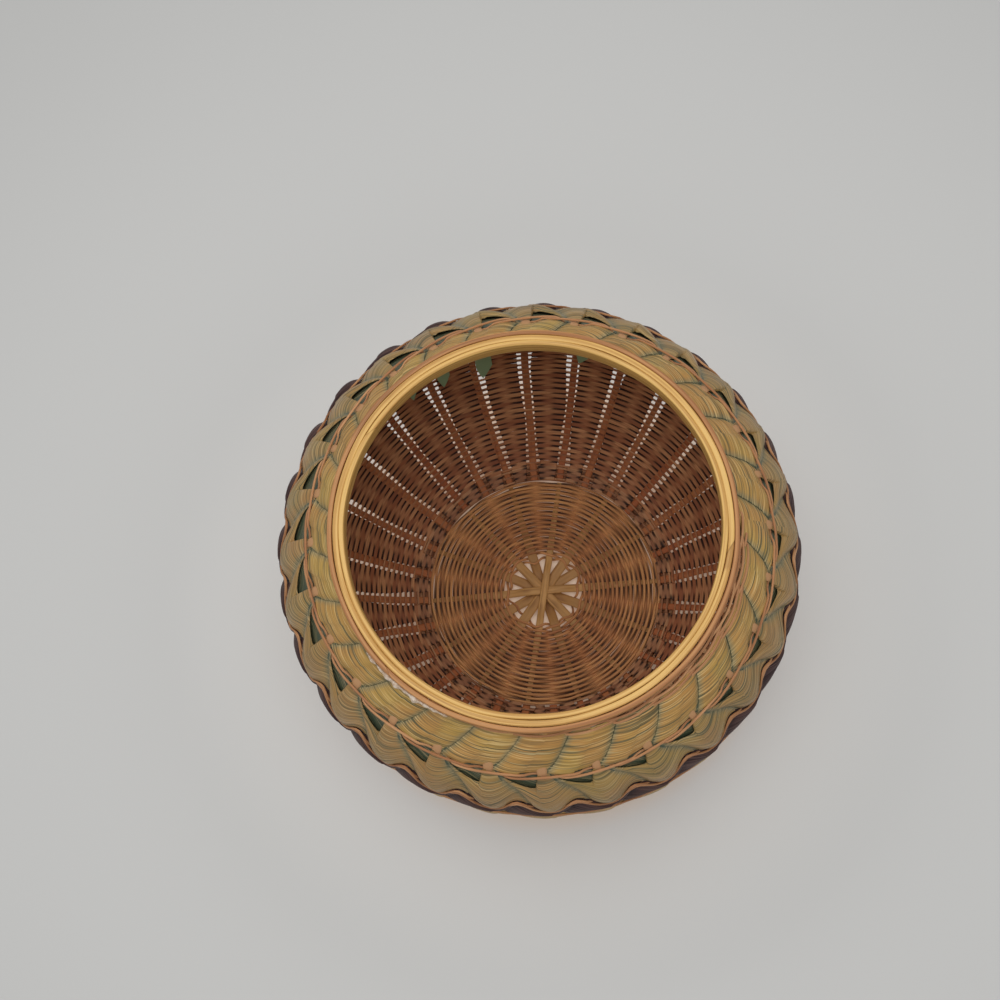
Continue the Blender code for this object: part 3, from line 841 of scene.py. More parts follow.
@dataclass
class WallWeave:
    """The fine weave of the lower wall: closed rings that pass inside and outside the stakes by turns."""

    wall: Wall
    courses: int = 46
    first_length: float = 8.9 * MM
    last_height: float = 57.3 * MM
    depth_at_stake: float = 1.12 * MM
    depth_between: float = 0.42 * MM
    half_thickness: float = 0.44 * MM
    half_height: float = 1.14 * MM
    half_height_at_stake: float = 0.56 * MM
    window_half: float = 2.35 * MM
    window_flare: float = 1.6 * MM
    window_edge: float = 0.22 * MM

    def places(self, lengths: Array, seed: int) -> tuple[Array, Array, Array]:
        """Where the rings have their cross-sections, and how near a stake each lies.

        A window round each stake is where a strand is bent out to pass the stake. It is wider at the
        weave's lower and upper end, and uneven from stake to stake.

        Args:
            lengths: of the rings, up the wall from the stakes' lower ends.
            seed: of the windows' unevenness.

        Returns:
            The places in cells, the distances from the nearest stake in cells, and the share, from 0
            to 1, by which each lies in a window. Each has one row for each ring.
        """
        heights = self.wall.heights_at(lengths)
        cell = (CELL * self.wall.radius(heights))[:, None, None]
        share = lengths / self.wall.length_at(self.last_height)
        random = np.random.default_rng(seed)
        phase = random.uniform(0.0, tau, (2, STAKE_COUNT))
        flare = self.window_flare * np.abs(2.0 * share - 1.0)[:, None] ** 1.5
        turn = np.array((0.0, 2.2))[:, None, None]
        uneven = 0.9 * np.cos(phase[0] + turn) + 0.35 * np.cos(phase[1] + turn + 11.0 * share[:, None])
        reach, after = (self.window_half + flare + uneven * MM)[..., None] / cell
        after = np.roll(after, -1, axis=1)
        edge = self.window_edge / cell
        level = np.zeros_like(reach)
        steps = (level, reach - edge, reach + edge, level + 0.33, level + 0.5, level + 0.67)
        steps = np.concatenate((*steps, 1.0 - after - edge, 1.0 - after + edge), axis=2)
        near = np.zeros_like(steps)
        near[..., (0, 1, 7)] = 1.0
        place = (np.arange(STAKE_COUNT)[None, :, None] + steps).reshape(len(lengths), -1)
        return place, np.abs(place - np.round(place)), near.reshape(place.shape)

    def add_courses(self, skin: Skin, lengths: Array, seed: int) -> None:
        """Adds closed rings to a skin.

        Each ring passes on alternate sides of the stakes, one cell out of step with its neighbours.
        Its depth is a cosine wave between the windows and a set depth in them, where it is narrower.

        Args:
            skin: what to add them to.
            lengths: of the rings, up the wall from the stakes' lower ends.
            seed: of their unevenness.
        """
        count = len(lengths)
        place, away, near = self.places(lengths, seed + 5)
        azimuth = place * CELL
        rise = lengths[:, None] + 0.1 * MM * ripple(azimuth, count, (3, 5, 8, 13), seed)
        heights = self.wall.heights_at(rise)
        parity = np.arange(count)[:, None] + round(lengths[0] / MM)
        side = 1.0 - 2.0 * np.mod(np.round(place) + parity, 2.0)
        wave = side * np.cos(pi * away)
        depth = self.depth_between * wave * (1.0 - near) + self.depth_at_stake * side * near
        depth = depth * (1.0 + 0.1 * ripple(azimuth, count, (5, 9, 14), seed + 1))
        path, normal, upward = self.wall.frame(azimuth, heights)
        random = np.random.default_rng(seed + 2)
        size = random.uniform(0.9, 1.06, (count, 1)) + 0.05 * ripple(azimuth, count, (7, 12), seed + 3)
        tall = self.half_height * (1.0 - 0.16 * smooth(away, 0.3, 0.5)) * (1.0 - near)
        tall = size * (tall + self.half_height_at_stake * near)
        tone = random.uniform(0.0, 1.0, (count, 1)) + 0.25 * ripple(azimuth, count, (1, 2, 3, 5), seed + 4)
        shape = rounded_section(6, 2.0)
        skin.add_tubes(
            path + normal * depth[..., None],
            normal,
            upward,
            np.stack((np.full_like(tall, self.half_thickness), tall), axis=-1)[..., None, :] * shape,
            True,
            np.clip(tone, 0.0, 1.0)[..., None],
            # Painted shade: corners that lie deep behind the neighbouring strands are darkened.
            painted_crevice_shade(side * np.abs(wave) ** 0.5 * (1.0 - 0.5 * near), shape),
        )

    def build(self, material: bpy.types.Material) -> None:
        """Makes the rings at even lengths up the wall."""
        skin = Skin()
        last = self.wall.length_at(self.last_height)
        self.add_courses(skin, np.linspace(self.first_length, last, self.courses), 41)
        place_piece(skin.build("wall_strands"), material, Slot.BROWN, "wall_weave")


@dataclass
class StripRow:
    """One row of two wide strips, twined round the stakes so that each passes outside every other one.

    Across a row, share 0 is its lower edge and 1 its upper one. Between two stakes the strip that
    leaves goes behind the one that comes, along a crease that leans across the row.
    """

    wall: Wall
    number: int
    slant: Slant
    slot_depth: float
    slot_reach: float = 0.72
    slot_end: float = 0.03
    slot_gain: float = 0.0
    slot_place: float = radians(140)
    lower_shift: float = 0.0
    lower_wave: float = 0.0
    upper_shift: float = 0.0
    upper_wave: float = 0.0
    hump_power: float = 2.0
    edge_share: float = 0.5
    low_edge_share: float = 0.5
    lower_gap: float = 0.6 * MM
    upper_gap: float = 0.6 * MM
    bulge: float = 1.9 * MM
    swell: float = 0.0
    swell_place: float = radians(132)
    valley: float = -0.45 * MM
    behind: float = -1.4 * MM
    half_thickness: float = 0.22 * MM
    crease_start: float = 0.08
    crease_gain: float = 0.0
    samples: int = 20
    across: int = 11

    @property
    def line(self) -> int:
        """The row line at the row's lower edge."""
        return len(self.wall.lines) - 1 - self.number

    def crease_run(self, azimuth: Array) -> Array:
        """Cells that the crease crosses from edge to edge: longer on the near side than on the far one."""
        return 0.46 + 0.13 * np.cos(azimuth + radians(75))

    def edges(self, azimuth: Array) -> tuple[Array, Array]:
        """Heights of the row's lower and upper edge, which rise and fall with the bands between stakes."""
        hump = np.abs(np.sin(pi * azimuth / CELL)) ** self.hump_power
        low = self.wall.line_height(self.line, azimuth) + self.lower_shift + self.lower_wave * hump
        high = self.wall.line_height(self.line + 1, azimuth) + self.upper_shift + self.upper_wave * hump
        return low, high

    def strip(self, first_in_front: bool, top_margin: Array, azimuth: Array, seed: int) -> Skin:
        """One strip of the row.

        In cells from the stake that it passes outside, the strip shows from the crease before that
        stake to the one after it. Its depth there is the valley's plus a bulge that falls off with
        the distance from the middle, and past a crease it drops smoothly to lie behind the stakes.

        Args:
            first_in_front: whether it passes outside the first stake.
            top_margin: free height at the row's upper edge, at each azimuth.
            azimuth: places round the basket.
            seed: of its random shades.

        Returns:
            The strip's skin.
        """
        place = azimuth / CELL
        turn = np.mod(place + (0.0 if first_in_front else 1.0), 2.0)
        from_front = np.where(turn > 1.0, turn - 2.0, turn)
        run = self.crease_run(azimuth)
        start = self.crease_start + self.crease_gain * (0.5 + 0.5 * np.sin(azimuth))
        coming = np.clip((from_front + 1.0 - start) / run, 0.2, 1.0)
        high_share = np.where(from_front < -0.88, 1.0 - 0.8 * smooth(from_front, -1.12, -0.88), coming)
        high_share = np.where(from_front > 0.85, 1.0 - 0.8 * smooth(from_front, 0.88, 1.12), high_share)
        lens = np.clip((from_front + self.slot_reach) / self.slot_reach, 0.0, 1.0) ** 0.6
        lens = lens * (1.0 - smooth(from_front, self.slot_end, self.slot_end + 0.06))
        row_low, row_high = self.edges(azimuth)
        row_high = row_high - top_margin
        slot = self.slot_depth * (1.0 + self.slot_gain * np.cos(azimuth - self.slot_place))
        low_share = lens * slot / (row_high - row_low)
        shares = np.linspace(0.0, 1.0, self.across)[None, :]
        shares = low_share[:, None] + shares * (high_share - low_share)[:, None]
        crease = start[:, None] + run[:, None] * shares
        across = from_front[:, None] - crease + 1.0
        dip = self.valley - 0.3 * MM * np.where(across > 0.5, 1.0, -1.0)
        inside = np.clip(1.0 - np.abs(2.0 * np.clip(across, 0.0, 1.0) - 1.0) ** 2.6, 0.0, 1.0)
        flat = 1.0 - np.abs(np.linspace(-1.0, 1.0, self.across)) ** 2.4
        edge_share = np.linspace(self.low_edge_share, self.edge_share, self.across) * (1.0 - lens)[:, None]
        crown = self.bulge * (edge_share + (1.0 - edge_share) * flat)
        swell = self.swell * np.exp(-(((azimuth - self.swell_place) / radians(26)) ** 2))
        crown = crown + swell[:, None] * flat
        beyond = np.maximum(np.maximum(across - 1.0, -across), 0.0)
        depth = dip + (crown - self.valley) * inside
        depth = depth - (dip - self.behind) * smooth(beyond, 0.0, 0.22)
        if self.slant is Slant.FALLING:
            shares = 1.0 - shares[:, ::-1]
            depth = depth[:, ::-1]
            across = across[:, ::-1]
        heights = row_low[:, None] + self.lower_gap
        heights = heights + shares * (row_high - row_low - self.lower_gap - self.upper_gap)[:, None]
        azimuths = np.repeat(azimuth[:, None], self.across, axis=1)
        point, normal, _ = self.wall.frame(azimuths, heights)
        thick = self.half_thickness * (1.0 - 0.5 * np.abs(np.linspace(-1.0, 1.0, self.across)) ** 6)
        outer = point + normal * (depth + thick)[..., None]
        inner = point + normal * (depth - thick)[..., None]
        corners = np.concatenate((outer, inner[:, ::-1]), axis=1)[None]
        random = np.random.default_rng(seed)
        patches = random.uniform(0.0, 1.0, STAKE_COUNT)
        tone = patches[np.mod(np.round(place - from_front), STAKE_COUNT).astype(int)]
        shown = np.clip(np.minimum(across, 1.0 - across), -0.3, 0.5)
        fade_and_painted_shade = 0.5 * smooth(shown, -0.02, 0.035) + 0.5 * smooth(shown, 0.0, 0.2)
        span = (self.wall.lines[self.line + 1] - self.wall.lines[self.line]) * 1.25
        length = np.concatenate((azimuth, [tau])) * 0.11
        level = np.concatenate((shares, shares[:, ::-1], shares[:, :1]), axis=1) * span
        level = np.concatenate((level, level[:1]))
        places = np.stack((np.repeat(length[:, None], level.shape[1], axis=1), level), axis=-1)
        places[..., 0] += seed * 0.731
        fades_and_painted_shades = np.concatenate((fade_and_painted_shade, 0.3 * fade_and_painted_shade[:, ::-1]), axis=1)[None]
        skin = Skin()
        skin.add_grid(corners, places[None], tone[None, :, None], fades_and_painted_shades, True)
        return skin

    def build(self, material: bpy.types.Material, slot: Slot, top_margin: Array, azimuth: Array) -> None:
        """Makes the row's two strips.

        Args:
            material: their finish.
            slot: the finish's slot in the record.
            top_margin: free height at the row's upper edge, at each azimuth.
            azimuth: places round the basket.
        """
        for letter, first_in_front in (("a", True), ("b", False)):
            skin = self.strip(first_in_front, top_margin, azimuth, 50 + 2 * self.number + first_in_front)
            piece = skin.build(f"row_{self.number}_strip_{letter}")
            place_piece(piece, material, slot, f"strip_row_{self.number}_{letter}")


@dataclass
class TwineBand:
    """Two thin strands that turn about each other between the stakes, on a row line."""

    wall: Wall
    number: int
    upper_rise: float = 1.0 * MM
    lower_drop: float = 1.0 * MM
    base_rise: float = 0.0
    hump_power: float = 1.2
    front_depth: float = 1.5 * MM
    back_depth: float = 0.9 * MM
    half_depth: float = 0.5 * MM
    half_height: float = 0.66 * MM

    def build(self, material: bpy.types.Material) -> None:
        """Each strand passes every other stake outside and dives behind the next, high or low between."""
        azimuth = np.arange(STAKE_COUNT * 12) * CELL / 12
        place = azimuth / CELL
        line = len(self.wall.lines) - 1 - self.number
        middle = self.wall.line_height(line, azimuth) + self.base_rise
        sides = np.array((1.0, -1.0))[:, None]
        swing = sides * np.sin(pi * place)
        hump = np.abs(np.sin(pi * place)) ** self.hump_power
        shift = np.where(swing > 0.0, self.upper_rise, -self.lower_drop) * hump
        heights = middle + shift + 0.25 * MM * ripple(azimuth, 2, (4, 7, 11), 60 + self.number)
        front = sides * np.cos(pi * place)
        depth = self.front_depth - (self.front_depth + self.back_depth) * smooth(-front, 0.35, 0.95)
        path, normal, upward = self.wall.frame(np.broadcast_to(azimuth, heights.shape), heights)
        section = np.array((self.half_depth, self.half_height)) * rounded_section(8, 2.4)
        tone = np.clip(0.5 + 0.3 * ripple(azimuth, 2, (1, 2, 5), 70 + self.number), 0.0, 1.0)
        skin = Skin()
        skin.add_tubes(path + normal * depth[..., None], normal, upward, section, True, tone[..., None])
        piece = skin.build(f"band_{self.number}_strands")
        place_piece(piece, material, Slot.TAN, f"twine_band_{self.number}")


@dataclass
class NeckWeave:
    """The wedge of fine strands under the rim on the low side."""

    wall: Wall
    height: float = 8.0 * MM
    first_cell: int = -10
    shares: tuple[float, ...] = (0.1, 0.15, 0.2, 0.35, 0.5, 0.7, 0.88, 1.0, 1.0, 0.85, 0.2)
    pitch: float = 1.28 * MM
    half_thickness: float = 0.6 * MM
    depth: float = 1.15 * MM

    def drop(self, azimuth: Array) -> Array:
        """Length down the wall that the wedge covers at each azimuth, straight between cell middles."""
        shares = (0.0, *self.shares, 0.0)
        place = np.mod(azimuth / CELL - 0.5 - (self.first_cell - 1), STAKE_COUNT)
        return self.height * np.interp(place, np.arange(len(shares)), shares)

    def margin(self, azimuth: Array) -> Array:
        """Height that the wedge takes from the top row."""
        slope = (self.wall.lines[-1] - self.wall.lines[-2]) / (
            self.wall.length_at(self.wall.lines[-1]) - self.wall.length_at(self.wall.lines[-2])
        )
        return self.drop(azimuth) * slope

    def build(self, material: bpy.types.Material) -> None:
        """Strand j lies j pitches under the neck, and runs as far as the wedge is that tall."""
        top = self.wall.length_at(self.wall.lines[-1])
        place = np.linspace(self.first_cell - 0.4, 0.75, 2000) * CELL
        skin = Skin()
        random = np.random.default_rng(81)
        for number in range(int(self.height / self.pitch) + 1):
            covered = place[self.drop(place) > (number + 0.15) * self.pitch]
            if len(covered) < 20:
                break
            azimuth = np.linspace(covered[0] - 0.01, covered[-1] + 0.01, 180)[None]
            lengths = top - (number + 0.55) * self.pitch
            uneven = 0.12 * MM * ripple(azimuth[0], 1, (5, 9, 17), 82 + number)
            heights = self.wall.heights_at(lengths + uneven)
            path, normal, upward = self.wall.frame(azimuth, heights)
            depth = 0.3 * MM + self.depth * woven_offset(azimuth / CELL + number, 1.0)
            begun = smooth(azimuth, azimuth[0, 0], azimuth[0, 6])
            ends = np.minimum(begun, 1.0 - smooth(azimuth, azimuth[0, -7], azimuth[0, -1]))
            depth = depth * ends - 1.0 * MM * (1.0 - ends)
            section = self.half_thickness * np.array((0.85, 1.05)) * rounded_section(8, 2.2)
            tone = random.uniform(0.1, 1.0)
            skin.add_tubes(path + normal * depth[..., None], normal, upward, section, False, tone)
        place_piece(skin.build("neck_strands"), material, Slot.TAN, "neck_weave")


@dataclass
class TuckedEnds:
    """Ends of dyed strips, tucked down inside the far wall beside the stakes, each cut to a point."""

    wall: Wall
    ends: tuple[tuple[float, float, float], ...] = (
        (radians(74.5), 51.5 * MM, 4.2 * MM),
        (radians(100.5), 46.5 * MM, 4.6 * MM),
        (radians(111.5), 49.5 * MM, 3.8 * MM),
        (radians(120.5), 52.0 * MM, 3.2 * MM),
    )
    top: float = 66.0 * MM
    depth: float = -1.95 * MM
    half_thickness: float = 0.2 * MM

    def build(self, material: bpy.types.Material) -> None:
        """Each end: half its width grows with the root of the height over its point, then stays."""
        skin = Skin()
        for azimuth, low, half_width in self.ends:
            heights = np.linspace(low, self.top, 24)[None]
            path, normal, _ = self.wall.frame(np.full_like(heights, azimuth), heights)
            turn = self.wall.turned(azimuth, heights)
            side = np.stack((np.sin(turn), -np.cos(turn), np.zeros_like(turn)), axis=-1)
            share = np.clip((heights - low) / (6.0 * MM), 0.02, 1.0) ** 0.7
            half = np.stack((np.full_like(share, self.half_thickness), half_width * share), axis=-1)
            lean = -0.4 * half_width * (1.0 - share)
            skin.add_tubes(
                path + normal * self.depth + side * lean[..., None],
                normal,
                side,
                half[..., None, :] * rounded_section(8, 4.0),
                False,
                0.5,
                0.05 + 0.12 * share[..., None],
            )
        place_piece(skin.build("tucked_strip_ends"), material, Slot.OLIVE)


# Rim


@dataclass
class Hoop:
    """A bent hoop with a rounded section, whose two ends meet in a slanted joint."""

    name: str
    node: str
    inner_radius: float
    thickness: float
    low: float
    high: float
    joint: float
    slot: Slot
    power: float = 6.0
    wave: float = 0.14 * MM
    scarf: float = 6.0 * MM
    stained: tuple[float, float] | None = None

    def build(self, material: bpy.types.Material) -> None:
        """A section of two unlike halves along the ring, with a gap of 0.3 mm across the joint."""
        steps = np.linspace(0.0, 1.0, 337)[None]
        middle = self.inner_radius + self.thickness / 2
        turn = self.joint + steps * (tau - 0.3 * MM / middle)
        wobble = self.wave * ripple(turn[0], 1, (2, 3, 5, 9, 14), round(self.inner_radius / MM))
        radius = middle + wobble
        height = np.full_like(radius, (self.low + self.high) / 2)
        shape = rounded_section(20, self.power)
        section = shape * np.array((self.thickness / 2, (self.high - self.low) / 2))
        slant = self.scarf / middle * np.maximum(1.0 - steps * 60.0, 0.0)
        slant = slant + self.scarf / middle * np.maximum(1.0 - (1.0 - steps) * 60.0, 0.0)
        corner_turn = turn[..., None] + slant[..., None] * (shape[:, 0] + 1.0) / 2
        corner_radius = radius[..., None] + section[:, 0]
        corner_height = height[..., None] + section[:, 1]
        corners, _, _ = ring_frame(corner_turn, corner_radius, corner_height)
        lengths = run_lengths(corners[:, :, 0], False)
        around = np.linalg.norm(section - np.roll(section, -1, axis=0), axis=1)
        girth = np.concatenate(([0.0], np.cumsum(around)))
        places = np.stack(np.broadcast_arrays(lengths[..., None], girth), axis=-1)
        fade_and_painted_shade = np.zeros_like(turn)
        if self.stained:
            start, stop = self.stained
            where = np.mod(turn - start + pi, tau) - pi
            reach = stop - start
            fade_and_painted_shade = 0.55 * smooth(where, -0.012, 0.0) * (1.0 - smooth(where, reach, reach + 0.012))
        skin = Skin()
        skin.add_grid(corners, places, np.full((1, 1, 1), 0.5), fade_and_painted_shade[..., None], False)
        place_piece(skin.build(self.name), material, self.slot, self.node)


@dataclass
class Residue:
    """The dried pale glue on the tan hoop's outer side, left of the near side."""

    start: float = radians(-147)
    stop: float = radians(-118)
    radius: float = 92.4 * MM
    height: float = 157.6 * MM

    def build(self) -> None:
        """A lumpy low ridge along the hoop, whose two half sizes follow uneven waves and fade at the ends."""
        azimuth = np.linspace(self.start, self.stop, 160)[None]
        share = (azimuth - self.start) / (self.stop - self.start)
        ends = np.sin(pi * np.clip(share, 0.001, 0.999)) ** 0.5
        lump = 1.0 + 0.5 * ripple(azimuth[0], 1, (41, 67, 113), 95)
        half = np.stack((1.2 * MM * ends * lump, 2.3 * MM * ends * (0.6 + 0.4 * lump)), axis=-1)
        height = self.height + 0.5 * MM * ripple(azimuth[0], 1, (23, 37), 96)
        path, out, up = ring_frame(azimuth, np.full_like(azimuth, self.radius), height)
        skin = Skin()
        skin.add_tubes(path, out, up, half[..., None, :] * rounded_section(12, 2.0), False)
        board = NodeBoard("dried_glue", 0.35)
        patch = board.span(board.cloud(700.0), 0.35, 0.65)
        shade = board.blend(patch, (0.50, 0.36, 0.25), (0.72, 0.62, 0.52))
        board.relief(board.cloud(900.0), 0.4 * MM)
        place_piece(skin.build("glue_residue"), board.finish(shade), Slot.TAN)


# Stage


@dataclass
class Stage:
    """The pale floor, the soft light and the camera."""

    floor_colour: Colour = (0.53, 0.535, 0.535)
    # Painted light: paler floor near the basket, against the shadow that it casts.
    painted_light_near_basket: Colour = (0.71, 0.71, 0.70)
    # Painted light: a warm, pale floor under the basket's rim.
    painted_warm_light_under_rim: Colour = (0.80, 0.66, 0.53)
    # Painted glow: a warm light that the floor gives off under the basket, centred below.
    painted_glow_colour: Colour = (1.0, 0.74, 0.54)
    painted_glow_centre: Colour = (0.0, 0.03, 0.0)
    world_strength: float = 0.5
    camera_place: Colour = (0.01452, -0.14870, 0.767)
    camera_right: Colour = (0.99517, -0.07342, -0.06522)
    camera_up: Colour = (0.08763, 0.96370, 0.25220)
    camera_ahead: Colour = (-0.04434, 0.25670, -0.96547)
    focal_length: float = 50.4

    def build_floor(self) -> None:
        """A wide level sheet, evenly pale but for painted light: painted shade towards its far reaches,
        painted light near the basket, a warm painted light under its rim and a painted glow beneath it.
        """
        mesh = bpy.data.meshes.new("floor")
        reach = 4.0
        points = [(-reach, -reach, 0.0), (reach, -reach, 0.0), (reach, reach, 0.0), (-reach, reach, 0.0)]
        mesh.from_pydata(points, [], [(0, 1, 2, 3)])
        floor = bpy.data.objects.new("floor", mesh)
        bpy.context.scene.collection.objects.link(floor)
        board = NodeBoard("floor_sheet", 0.7)
        place = board.add("ShaderNodeTexCoord")
        distance = board.add("ShaderNodeVectorMath", operation="LENGTH")
        board.link(place.outputs["Object"], distance.inputs[0])
        reach = distance.outputs["Value"]
        # Painted shade: the sheet darkens towards its far reaches, as light falls off.
        darker = tuple(0.86 * part for part in self.floor_colour)
        sheet = board.blend(board.span(reach, 0.25, 0.6), self.floor_colour, darker)
        # Painted light: paler near the basket, against the shadow that it casts.
        sheet = board.blend(board.span(reach, 0.11, 0.22, 1.0, 0.0), sheet, self.painted_light_near_basket)
        # Painted light: warm and pale under the basket's rim.
        sheet = board.blend(board.span(reach, 0.112, 0.134, 1.0, 0.0), sheet, self.painted_warm_light_under_rim)
        # Painted glow: the sheet under the basket gives off a warm light, though it is no lamp.
        board.shader.inputs["Emission Color"].default_value = (*self.painted_glow_colour, 1.0)
        shift = board.add("ShaderNodeVectorMath", operation="SUBTRACT")
        shift.inputs[1].default_value = self.painted_glow_centre
        glow = board.add("ShaderNodeVectorMath", operation="LENGTH")
        board.link(place.outputs["Object"], shift.inputs[0])
        board.link(shift.outputs[0], glow.inputs[0])
        strength = board.span(glow.outputs["Value"], 0.07, 0.125, 0.16, 0.0)
        board.link(strength, board.shader.inputs["Emission Strength"])
        mesh.materials.append(board.finish(sheet))

    def build_world(self) -> None:
        """An even grey sky, whose colour to the camera is the floor's."""
        world = bpy.data.worlds.new("soft_room")
        world.use_nodes = True
        nodes = world.node_tree.nodes
        links = world.node_tree.links
        light = nodes["Background"]
        light.inputs["Color"].default_value = (1.0, 0.99, 0.97, 1.0)
        light.inputs["Strength"].default_value = self.world_strength
        seen = nodes.new("ShaderNodeBackground")
        seen.inputs["Color"].default_value = (*self.floor_colour, 1.0)
        rays = nodes.new("ShaderNodeLightPath")
        mix = nodes.new("ShaderNodeMixShader")
        links.new(rays.outputs["Is Camera Ray"], mix.inputs[0])
        links.new(light.outputs[0], mix.inputs[1])
        links.new(seen.outputs[0], mix.inputs[2])
        links.new(mix.outputs[0], nodes["World Output"].inputs["Surface"])
        bpy.context.scene.world = world

    def build_lamp(self, name: str, place: Colour, size: float, power: float, colour: Colour) -> None:
        """A square soft lamp that faces the basket.

        Args:
            name: the lamp's name.
            place: where it hangs.
            size: its side.
            power: its power in watts.
            colour: its colour.
        """
        data = bpy.data.lights.new(name, "AREA")
        data.shape = "SQUARE"
        data.size = size
        data.energy = power
        data.color = colour
        lamp = bpy.data.objects.new(name, data)
        away = np.array(place) - np.array((0.0, 0.0, 0.1))
        away /= np.linalg.norm(away)
        side = np.cross((0.0, 1.0, 0.0), away)
        side /= np.linalg.norm(side)
        turn = np.column_stack((side, np.cross(away, side), away))
        matrix = np.eye(4)
        matrix[:3, :3] = turn
        matrix[:3, 3] = place
        lamp.matrix_world = Matrix(matrix.tolist())
        bpy.context.scene.collection.objects.link(lamp)

    def build_camera(self) -> None:
        """A camera high over the near side, with its own right, up and backward directions."""
        data = bpy.data.cameras.new("camera")
        data.lens = self.focal_length
        data.sensor_width = 36.0
        data.clip_start = 0.01
        data.clip_end = 20.0
        camera = bpy.data.objects.new("camera", data)
        matrix = np.eye(4)
        matrix[:3, 0] = self.camera_right
        matrix[:3, 1] = self.camera_up
        matrix[:3, 2] = -np.array(self.camera_ahead)
        matrix[:3, 3] = self.camera_place
        camera.matrix_world = Matrix(matrix.tolist())
        bpy.context.scene.collection.objects.link(camera)
        bpy.context.scene.camera = camera

    def build(self) -> None:
        """Sets the stage."""
        bpy.context.scene.view_settings.view_transform = "Standard"
        self.build_floor()
        self.build_world()
        self.build_lamp("ceiling_lamp", (-0.1, 0.1, 1.8), 2.2, 24.0, (1.0, 0.99, 0.97))
        self.build_camera()


# The basket


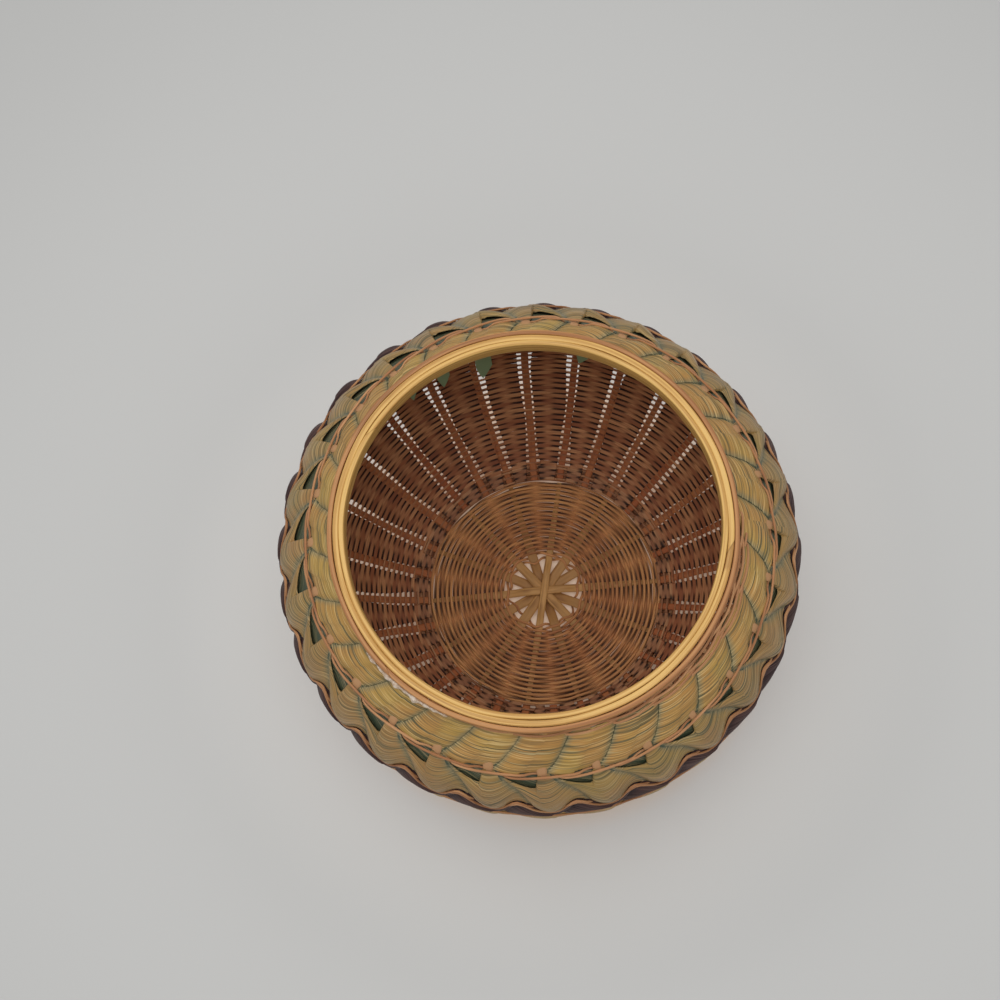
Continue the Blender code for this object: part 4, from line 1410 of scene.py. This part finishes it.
def build_wall(wall: Wall) -> None:
    """Stakes, fine weave, rows of strips, bands and neck weave.

    Args:
        wall: the surface that they run on.
    """
    stake_finish = StrandFinish(
        "stake_bamboo", (0.42, 0.12, 0.045), (0.58, 0.26, 0.10), (0.26, 0.08, 0.035), painted_shade_and_stake_top=(0.46, 0.26, 0.13)
    )
    Stakes(wall).build(stake_finish.make())
    weave_finish = StrandFinish("wall_bamboo", (0.34, 0.115, 0.05), (0.62, 0.29, 0.13), (0.20, 0.06, 0.035))
    WallWeave(wall).build(weave_finish.make())
    olive = StripFinish(
        "olive_strip",
        (0.43, 0.27, 0.065),
        (0.43, 0.225, 0.06),
        (0.27, 0.21, 0.10),
        (0.05, 0.062, 0.034),
        (0.74, 0.56, 0.27),
    ).make()
    # Painted shade: a darker copy of the olive finish, for the second row of strips.
    painted_shade_olive = StripFinish(
        "olive_strip_painted_shade",
        (0.33, 0.21, 0.06),
        (0.34, 0.185, 0.06),
        (0.20, 0.165, 0.085),
        (0.05, 0.068, 0.04),
        (0.60, 0.44, 0.22),
    ).make()
    purple = StripFinish(
        "purple_strip",
        (0.052, 0.026, 0.029),
        (0.075, 0.038, 0.034),
        (0.034, 0.018, 0.021),
        (0.016, 0.009, 0.010),
        (0.20, 0.12, 0.10),
        0.55,
        0.12,
    ).make()
    neck = NeckWeave(wall)
    azimuth = np.arange(STAKE_COUNT * 20) * CELL / 20
    none = np.zeros_like(azimuth)
    rows = (
        (
            StripRow(wall, 1, Slant.RISING, 0.9 * MM, 0.45, crease_gain=0.12, upper_gap=-0.7 * MM),
            olive,
            Slot.OLIVE,
            0.8 * neck.margin(azimuth),
        ),
        (
            StripRow(
                wall,
                2,
                Slant.FALLING,
                10.4 * MM,
                slot_reach=0.8,
                slot_end=-0.15,
                slot_gain=0.25,
                crease_start=0.18,
                upper_gap=-0.3 * MM,
                lower_shift=-14.0 * MM,
                lower_wave=16.6 * MM,
                hump_power=1.8,
            ),
            painted_shade_olive,
            Slot.OLIVE,
            none,
        ),
        (
            StripRow(
                wall,
                3,
                Slant.RISING,
                2.0 * MM,
                upper_shift=-14.4 * MM,
                upper_wave=17.6 * MM,
                upper_gap=-1.0 * MM,
                hump_power=1.8,
                edge_share=0.15,
                low_edge_share=0.85,
                bulge=2.7 * MM,
                swell=1.6 * MM,
            ),
            purple,
            Slot.PURPLE,
            none,
        ),
        (StripRow(wall, 4, Slant.FALLING, 2.0 * MM, bulge=0.8 * MM, edge_share=0.8), olive, Slot.OLIVE, none),
        (StripRow(wall, 5, Slant.RISING, 2.0 * MM), olive, Slot.OLIVE, none),
    )
    for row, material, slot, margin in rows:
        row.build(material, slot, margin, azimuth)
    twine = StrandFinish(
        "twine_bamboo", (0.34, 0.15, 0.065), (0.60, 0.33, 0.16), (0.24, 0.10, 0.05), 0.45
    ).make()
    for band in (
        TwineBand(wall, 1, 0.6 * MM, 0.7 * MM, -0.2 * MM),
        TwineBand(wall, 2, 15.4 * MM, -14.1 * MM, -13.0 * MM, hump_power=1.8, front_depth=1.4 * MM),
        TwineBand(wall, 3, front_depth=0.2 * MM),
        TwineBand(wall, 4),
    ):
        band.build(twine)
    neck.build(twine)
    tucked = StripFinish(
        "tucked_strip",
        (0.40, 0.46, 0.26),
        (0.36, 0.43, 0.23),
        (0.34, 0.45, 0.26),
        (0.30, 0.42, 0.23),
        (0.6, 0.64, 0.42),
    )
    TuckedEnds(wall).build(tucked.make())


def build_rim() -> None:
    """The golden hoop in two parts, and the tan hoop outside it."""
    golden = HoopFinish("golden_hoop", (0.70, 0.44, 0.14), (0.52, 0.28, 0.075), (0.32, 0.14, 0.035)).make()
    tan = HoopFinish("tan_hoop", (0.47, 0.225, 0.08), (0.33, 0.14, 0.05), (0.18, 0.07, 0.028), 0.45).make()
    hoops = (
        (
            Hoop(
                "golden_inner_hoop",
                "rim_inner_hoop",
                84.2 * MM,
                2.62 * MM,
                154.5 * MM,
                163.5 * MM,
                radians(143.1),
                Slot.GOLDEN,
            ),
            golden,
        ),
        (
            Hoop(
                "golden_filler_hoop",
                "rim_filler_hoop",
                86.7 * MM,
                2.8 * MM,
                159.4 * MM,
                163.2 * MM,
                radians(-14),
                Slot.GOLDEN,
                stained=(radians(-19), radians(-14)),
            ),
            golden,
        ),
        (
            Hoop(
                "tan_outer_hoop",
                "rim_outer_hoop",
                89.7 * MM,
                2.4 * MM,
                156.2 * MM,
                162.8 * MM,
                radians(220),
                Slot.TAN,
            ),
            tan,
        ),
    )
    for hoop, material in hoops:
        hoop.build(material)


def main() -> None:
    """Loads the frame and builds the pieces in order."""
    logging.basicConfig(level=logging.INFO, format="%(name)s: %(message)s")
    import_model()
    wall = Wall()
    base = Base()
    base.build_sticks(
        StrandFinish(
            "stick_bamboo",
            (0.36, 0.17, 0.055),
            (0.64, 0.34, 0.12),
            (0.22, 0.09, 0.035),
            fibres=1000.0,
            fibre_depth=0.3 * MM,
        ).make()
    )
    base.build_weave(
        StrandFinish("base_bamboo", (0.44, 0.17, 0.065), (0.78, 0.38, 0.145), (0.26, 0.10, 0.045)).make()
    )
    Foot(wall).build(
        StrandFinish("foot_bamboo", (0.34, 0.14, 0.07), (0.58, 0.29, 0.14), (0.20, 0.08, 0.04)).make()
    )
    build_wall(wall)
    build_rim()
    Residue().build()
    Stage().build()


if __name__ == "__main__":
    main()
